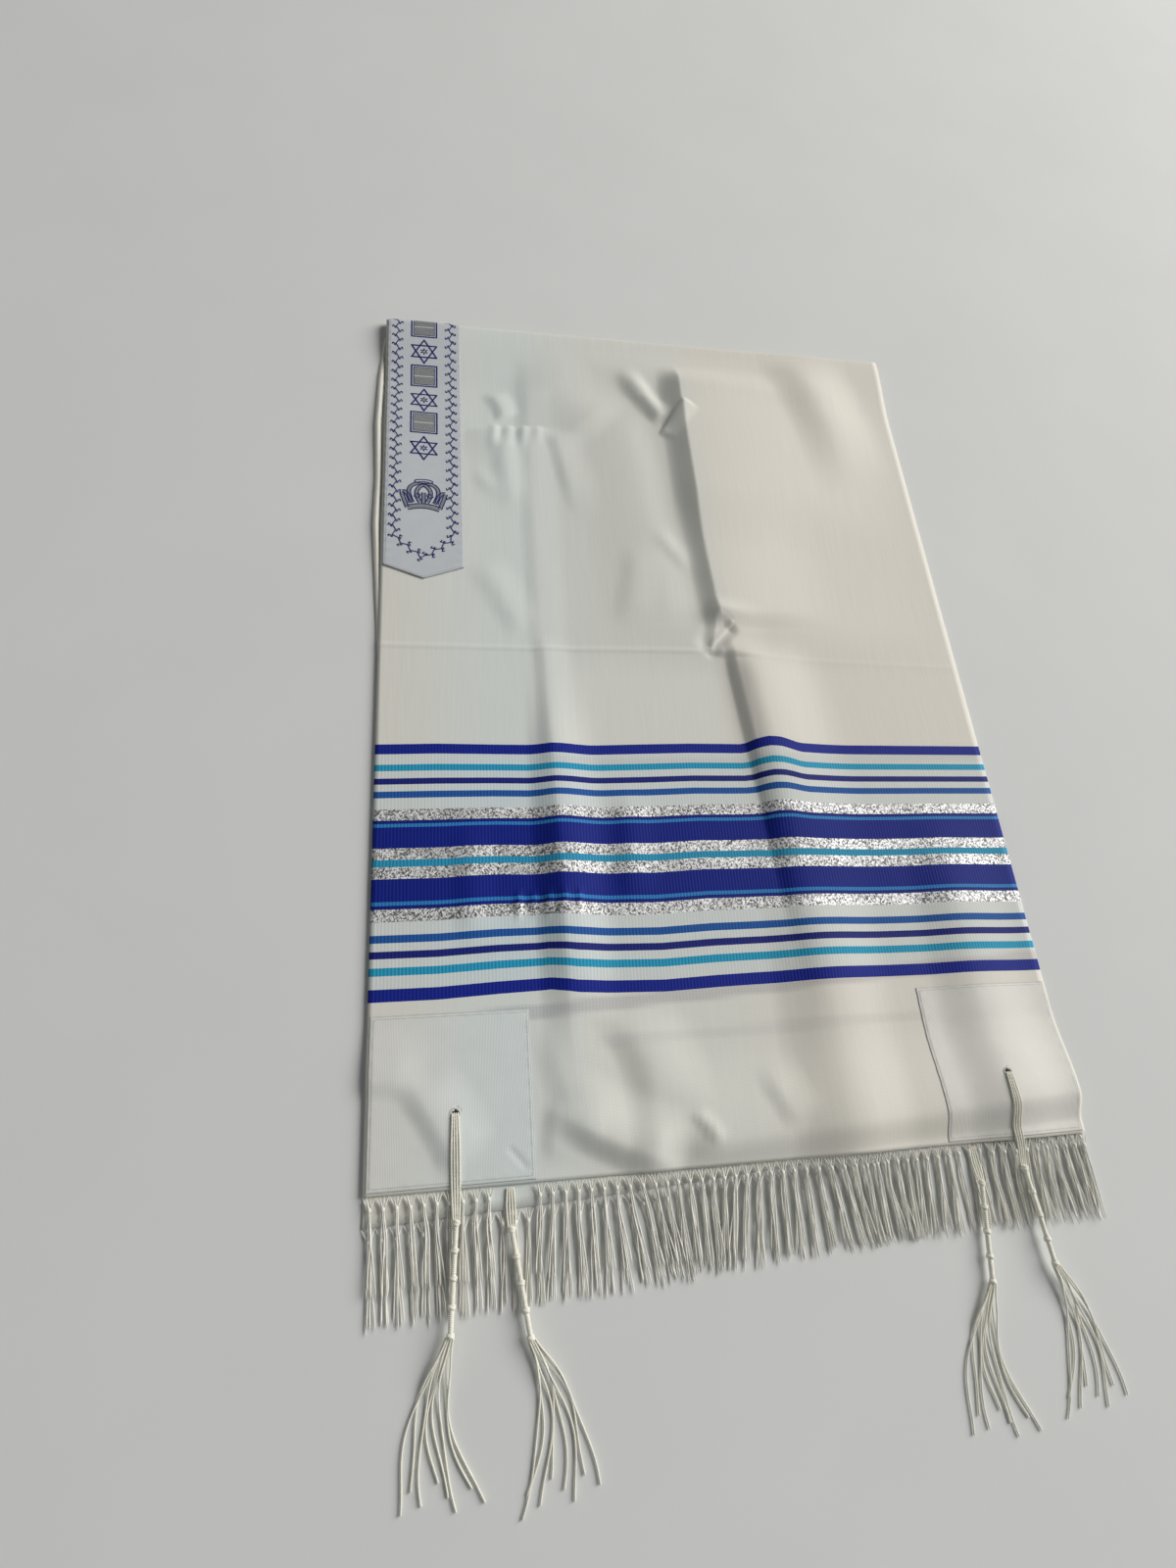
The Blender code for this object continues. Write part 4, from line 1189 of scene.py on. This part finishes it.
# Tassels: where each one's first knot lies, which way it points in degrees, how high it lies, and
# whether its strings come from an eyelet of the upper layer
LOWER_TASSEL_U = 0.108
Tassel = namedtuple("Tassel", "name u start heading under from_eyelet")
TASSELS = (
    Tassel("tzitzit_upper_neck", EYELET_U, -0.022, -4.0, 0.0038, True),
    Tassel("tzitzit_upper_outer", WIDTH - EYELET_U, -0.022, 5.0, 0.0038, True),
    Tassel("tzitzit_lower_neck", LOWER_TASSEL_U, -0.030, 9.0, 0.0019, False),
    Tassel("tzitzit_lower_outer", WIDTH - LOWER_TASSEL_U, -0.030, -8.0, 0.0019, False),
)


def cord_grids(paths, radius, turn, sides):
    """Grids of twisted cords round many paths of as many points each.

    At a distance s along its path, a cord's radius in the direction a is the given one times
    1 + depth * cos(plies * (a - 2 pi s / turn)). The ends are drawn in to a point."""
    step = np.gradient(paths, axis=-2)
    length = np.linalg.norm(step, axis=-1, keepdims=True)
    tangent = step / length
    across = np.array([1.0, 0.0, 0.0])
    side = across - (tangent @ across)[..., None] * tangent
    side = side / np.linalg.norm(side, axis=-1, keepdims=True)
    up = np.cross(tangent, side)
    reached = np.cumsum(length, axis=-2)
    angle = np.linspace(0.0, 2 * np.pi, sides, endpoint=False)
    swell = 1.0 + PLY_DEPTH * np.cos(PLIES * (angle - 2 * np.pi * reached / turn))
    taper = np.ones(paths.shape[-2])
    taper[[0, -1]] = CORD_TIP
    swell = (radius * taper[:, None] * swell)[..., None]
    ring = np.cos(angle)[:, None] * side[..., None, :] + np.sin(angle)[:, None] * up[..., None, :]
    return list((paths[..., None, :] + swell * ring).reshape(-1, paths.shape[-2], sides, 3))


def yarn_material(name, color):
    """Matte spun yarn, lighter and darker along its length, with fine fibres in the bump."""
    material, tree, shader = start_material(name, roughness=0.82, sheen=0.25)
    place = node(tree, "TexCoord").outputs["Object"]
    tufts = noise(tree, place, TUFTS_PER_METRE, 3.0)
    fibres = noise(tree, place, FIBRES_PER_METRE, 1.0)
    made = mix(tree, tufts, *[dye(color, shade) for shade in YARN_SHADES])
    dress(tree, shader, made, fibres, strength=0.35, distance=0.0002)
    return material


def lean(u):
    """Sideways lean of the fringe at u, calm beside a tassel. Each of its waves has its most
    degrees, its rate along the hem and its start."""
    angle = sum(np.radians(most) * np.sin(rate * u + start) for most, rate, start in LEANS)
    nearest = np.min([np.abs(u - t.u) for t in TASSELS], axis=0)
    return np.tan(angle * np.minimum(nearest / SWAY_CALM, 1.0))


def fringe_paths(hem_out, hem_z, rest, parted):
    """Path of every yarn, and the middle of every bundle's knot.

    A bundle starts as wide as its pitch, draws in to its knot and opens again. It falls from the
    hem's height to the surface within the first half of its length."""
    pitch = WIDTH / FRINGE_STRANDS
    roots = pitch * (np.arange(FRINGE_STRANDS) + 0.5)
    clear = [all(abs(u - p) > FRINGE_PARTING for p in parted) for u in roots]
    root = roots[clear][:, None, None]
    chance = np.random.default_rng(FRINGE_CHANCE)
    share = np.linspace(0.0, 1.0, FRINGE_RINGS)
    yarn = (np.arange(YARNS) - 0.5 * (YARNS - 1)) / (0.5 * (YARNS - 1))
    above = HEM_SPREAD * (1 - share / KNOT_PLACE)
    below = END_SPREAD * (share - KNOT_PLACE)
    spread = KNOT_SPREAD + np.where(share < KNOT_PLACE, above, below)
    each = (len(root), YARNS, 1)
    wave = chance.uniform(-YARN_WAVE, YARN_WAVE, each) * np.sin(2 * np.pi * YARN_WAVES * share)
    wave = wave * smooth_step((share - KNOT_PLACE) / WAVE_RUN_IN)
    out = share * (FRINGE_LENGTH * chance.uniform(SHORTEST_YARN, 1.0, each))
    u = root + lean(root) * out + pitch * spread * yarn[:, None] + wave
    y = HEM_Y - hem_out(root) - HEM_GAP - out
    stagger = YARN_RADIUS * (1.0 + YARN_STAGGER * (np.arange(YARNS) % 2))[:, None]
    z = rest + stagger + (hem_z(root) - rest) * (1.0 - smooth_step(share / FALL_SHARE))
    knot_rise = np.maximum(KNOT_SIZE + FLOOR_GAP - z.min(axis=1, keepdims=True), 0.0)
    z = z + knot_rise * smooth_step(1.0 - np.abs(share - KNOT_PLACE) / KNOT_REACH)
    paths = points_of(EDGE_X + u, y, z)
    knot = np.argmin(np.abs(share - KNOT_PLACE))
    return paths.reshape(-1, FRINGE_RINGS, 3), paths[:, :, knot].mean(axis=1)


def knot_grids(centres, size, sides=8, rings=7):
    """Small round knots: spheres drawn out a little along the yarn."""
    polar = np.linspace(KNOT_OPENING, np.pi - KNOT_OPENING, rings)[:, None]
    around = np.linspace(0.0, 2 * np.pi, sides, endpoint=False)[None, :]
    y = -KNOT_STRETCH * np.cos(polar)
    ball = size * points_of(np.sin(polar) * np.cos(around), y, np.sin(polar) * np.sin(around))
    return [centre + ball for centre in centres]


def make_fringe(name, cad_node, hem_out, hem_z, rest, parted):
    """Fringe along one hem."""
    paths, knots = fringe_paths(hem_out, hem_z, rest, parted)
    grids = cord_grids(paths, YARN_RADIUS, PLY_TURN, YARN_SIDES)
    made = joined_mesh(name, grids + knot_grids(knots, KNOT_SIZE), wrap=True)
    return finish_piece(made, fringe_yarn, "fringe_yarn", cad_node)


fringe_yarn = yarn_material("fringe_yarn", YARN_DYE)
fringe_upper = make_fringe(
    "fringe_of_upper_hem",
    "fringe_upper",
    hem_out=lambda u: 0.0 * u,
    hem_z=lambda u: CLOTH_TOP - 0.5 * CLOTH_THICK + lift(u, 0.0 * u),
    rest=0.0024,
    parted=[t.u for t in TASSELS if not t.from_eyelet],
)
fringe_lower = make_fringe(
    "fringe_of_lower_hem",
    "fringe_lower",
    hem_out=lower_hem_out,
    hem_z=lambda u: 0.5 * CLOTH_THICK + 0.0 * u,
    rest=0.0004,
    parted=[],
)


# Tassels
# The tzitzit: four strings of twisted white cord, doubled through each corner's eyelet, knotted
# five times with windings between the knots, and eight loose ends. Lower ones come from under.
CORD_RADIUS = 0.00068
CORD_SIDES = 10
CORD_TURN = 0.0052
HEAD_LENGTH = 0.070
HEAD_RADIUS = 0.0019
HEAD_RINGS = 300
HEAD_SIDES = 16
HEAD_END_RADIUS = 0.0004
KNOT_RADIUS = 0.0030
KNOT_HALF = 0.0026
KNOTS = 5
WINDING_PITCH = 0.0013
WINDING_DEPTH = 0.00022
CROSSING_PITCH = 2.2 * WINDING_PITCH
LOOSE_STRANDS = 8
LOOSE_LENGTH = 0.100
LOOSE_STAGGER = 0.004
LOOSE_RINGS = 90
LOOSE_BOW = 0.010
LOOSE_WAVE = 0.0016
LOOSE_WAVES = 1.3
LOOSE_SHIFT = 0.29
LOOSE_RISE = 0.0006
LOOSE_FALL = 0.5
FAN_POWER = 1.2
ROOT_PITCH = 0.0007
TIP_PITCH = 0.0072
STRINGS = 4
STRING_RINGS = 80
STRING_PITCH = 0.0013
STRING_SPREAD = 0.0021
SPREAD_POWER = 0.7
STRING_BEND = 0.0023
STRING_START = 0.0008
STRING_GAP = 0.0006
STRING_SINK = 0.0030
HEM_CLEAR = 0.002
UNDER_HEM = 0.0017
UNDER_SHARE = 0.3
FLOOR_CLEARANCE = 0.0004
CORD_DYE = (243, 240, 226)


def tassel_place(tassel, along, aside):
    """World x and y of a point that far along a tassel and that far to its side."""
    angle = math.radians(tassel.heading)
    x = EDGE_X + tassel.u + along * math.sin(angle) + aside * math.cos(angle)
    y = HEM_Y + tassel.start - along * math.cos(angle) + aside * math.sin(angle)
    return x, y


def head_grid(tassel):
    """Wound head: a round bar that swells at each knot, ridged by its windings.

    The radius at a distance s and direction a is the bar's plus a ridge that repeats over the
    winding's pitch and climbs one pitch a turn; at a knot the ridges cross the other way."""
    s = np.linspace(-KNOT_HALF, HEAD_LENGTH + KNOT_HALF, HEAD_RINGS)[:, None]
    around = np.linspace(0.0, 2 * np.pi, HEAD_SIDES, endpoint=False)[None, :]
    gap = HEAD_LENGTH / (KNOTS - 1)
    from_knot = np.abs((s + 0.5 * gap) % gap - 0.5 * gap) / KNOT_HALF
    swell = np.sqrt(np.clip(1.0 - from_knot**2, 0.0, 1.0))
    ridge = np.cos(2 * np.pi * s / WINDING_PITCH - around)
    crossing = np.cos(2 * np.pi * s / CROSSING_PITCH + 2 * around)
    bar = np.where((s > 0.0) & (s < HEAD_LENGTH), HEAD_RADIUS, HEAD_END_RADIUS)
    radius = np.maximum(bar, KNOT_RADIUS * swell)
    radius = radius + WINDING_DEPTH * np.where(from_knot < 1.0, crossing, ridge)
    x, y = tassel_place(tassel, s, radius * np.cos(around))
    return points_of(x, y, tassel.under + KNOT_RADIUS + radius * np.sin(around))


def loose_paths(tassel):
    """The loose ends: they leave the last knot, come down to the surface and lie fanned out."""
    strand = np.arange(LOOSE_STRANDS)[:, None]
    place = strand - 0.5 * (LOOSE_STRANDS - 1)
    length = LOOSE_LENGTH - LOOSE_STAGGER * ((strand * 3) % 5)
    rest = FLOOR_CLEARANCE + CORD_RADIUS
    high_z = tassel.under + KNOT_RADIUS + np.where(strand % 2, LOOSE_RISE, -LOOSE_RISE)
    share = np.linspace(0.0, 1.0, LOOSE_RINGS)
    bow = math.copysign(LOOSE_BOW, tassel.heading) * np.sin(np.pi * share)
    wave = LOOSE_WAVE * np.sin(2 * np.pi * (LOOSE_WAVES * share + LOOSE_SHIFT * strand))
    wave = wave * smooth_step(share / WAVE_RUN_IN)
    aside = place * (ROOT_PITCH + TIP_PITCH * share**FAN_POWER) + bow + wave
    x, y = tassel_place(tassel, HEAD_LENGTH + share * length, aside)
    return points_of(x, y, rest + (high_z - rest) * (1.0 - smooth_step(share / LOOSE_FALL)))


def string_aside(share):
    """How far each string lies beside the tassel's middle, spread most halfway down."""
    string = np.arange(STRINGS)[:, None] - 0.5 * (STRINGS - 1)
    return string * (STRING_PITCH + (STRING_SPREAD - STRING_PITCH) * np.sin(np.pi * share) ** SPREAD_POWER)


def eyelet_paths(tassel):
    """Strings of an upper tassel: up out of the eyelet in an arc, down the patch, over the hem
    and on to the first knot."""
    share = np.linspace(0.0, 1.0, STRING_RINGS)
    from_v = EYELET_V + STRING_START
    v = from_v + (tassel.start - from_v) * share
    beside = string_aside(share)
    cloth_z = CLOTH_TOP + lift(tassel.u + beside, np.maximum(v, 0.0))
    lying = cloth_z + PATCH_GAP + PATCH_THICK + STRING_GAP + CORD_RADIUS
    to_knot = smooth_step((HEM_CLEAR - v) / -tassel.start)
    sink = np.clip(1.0 - (from_v - v) / STRING_BEND, 0.0, 1.0)
    z = lying + (tassel.under + KNOT_RADIUS - lying) * to_knot - STRING_SINK * sink**2
    return points_of(EDGE_X + tassel.u + beside, HEM_Y + v, z)


def hem_paths(tassel):
    """Strings of a lower tassel, from under the upper hem to the first knot."""
    share = np.linspace(0.0, 1.0, STRING_RINGS // 2)
    v = -HEM_CLEAR + (tassel.start + HEM_CLEAR) * share
    low_z = UNDER_HEM + CORD_RADIUS
    rise = smooth_step((share - UNDER_SHARE) / (1.0 - UNDER_SHARE))
    z = low_z + (tassel.under + KNOT_RADIUS - low_z) * rise
    return points_of(EDGE_X + tassel.u + string_aside(share), HEM_Y + v, z)


tassel_cord = yarn_material("tassel_cord", CORD_DYE)
for tassel in TASSELS:
    string_paths = eyelet_paths(tassel) if tassel.from_eyelet else hem_paths(tassel)
    cords = cord_grids(string_paths, CORD_RADIUS, CORD_TURN, CORD_SIDES)
    cords += cord_grids(loose_paths(tassel), CORD_RADIUS, CORD_TURN, CORD_SIDES)
    made = joined_mesh(tassel.name + "_cords", cords + [head_grid(tassel)], wrap=True)
    finish_piece(made, tassel_cord, "tassel_cord", tassel.name)


# Floor and light
# A plain pale floor, a broad soft light low on the right, and a weak cool one from the left.
FLOOR_DROP = 0.0002
FLOOR_HALF = 8.0
FLOOR_DYES = ((220, 221, 220), (226, 227, 226))
FLOOR_CLOUDS = 6.0
Lamp = namedtuple("Lamp", "name x y z size power color")
LAMPS = (
    Lamp("window", 7.80, 2.80, 5.50, 7.0, 1200.0, (1.0, 0.985, 0.955)),
    Lamp("fill", -1.7, -1.9, 2.1, 2.2, 5.0, (0.92, 0.97, 1.0)),
)
SKY = ((0.0, (0.58, 0.60, 0.60)), (0.12, (0.50, 0.52, 0.52)), (0.45, (0.066, 0.069, 0.069)))

corners = np.array([[-1, -1], [1, -1], [-1, 1], [1, 1]]).reshape(2, 2, 2) * FLOOR_HALF
floor_points = np.concatenate([corners, np.full((2, 2, 1), -FLOOR_DROP)], axis=-1)
floor = joined_mesh("floor", [floor_points], wrap=False)
floor_material, floor_tree, floor_shader = start_material("pale_floor", 0.85, sheen=0.0)
floor_clouds = noise(floor_tree, node(floor_tree, "TexCoord").outputs["Object"], FLOOR_CLOUDS, 2.0)
dress(floor_tree, floor_shader, mix(floor_tree, floor_clouds, *[dye(color) for color in FLOOR_DYES]))
floor.data.materials.append(floor_material)

for lamp in LAMPS:
    light = bpy.data.lights.new(lamp.name, "AREA")
    light.size = lamp.size
    light.energy = lamp.power
    light.color = lamp.color
    holder = bpy.data.objects.new(lamp.name, light)
    holder.location = (lamp.x, lamp.y, lamp.z)
    holder.rotation_euler = Vector((lamp.x, lamp.y, lamp.z)).to_track_quat("Z", "Y").to_euler()
    bpy.context.scene.collection.objects.link(holder)

world = bpy.data.worlds.new("studio")
world.use_nodes = True
_, _, sky_height = apart(world.node_tree, node(world.node_tree, "TexCoord").outputs["Generated"])
sky_stops = [(height, (*color, 1.0)) for height, color in SKY]
sky = color_ramp(world.node_tree, sky_height, sky_stops, "EASE")
world.node_tree.links.new(sky.outputs["Color"], world.node_tree.nodes["Background"].inputs["Color"])
bpy.context.scene.world = world
bpy.context.scene.view_settings.view_transform = "Standard"
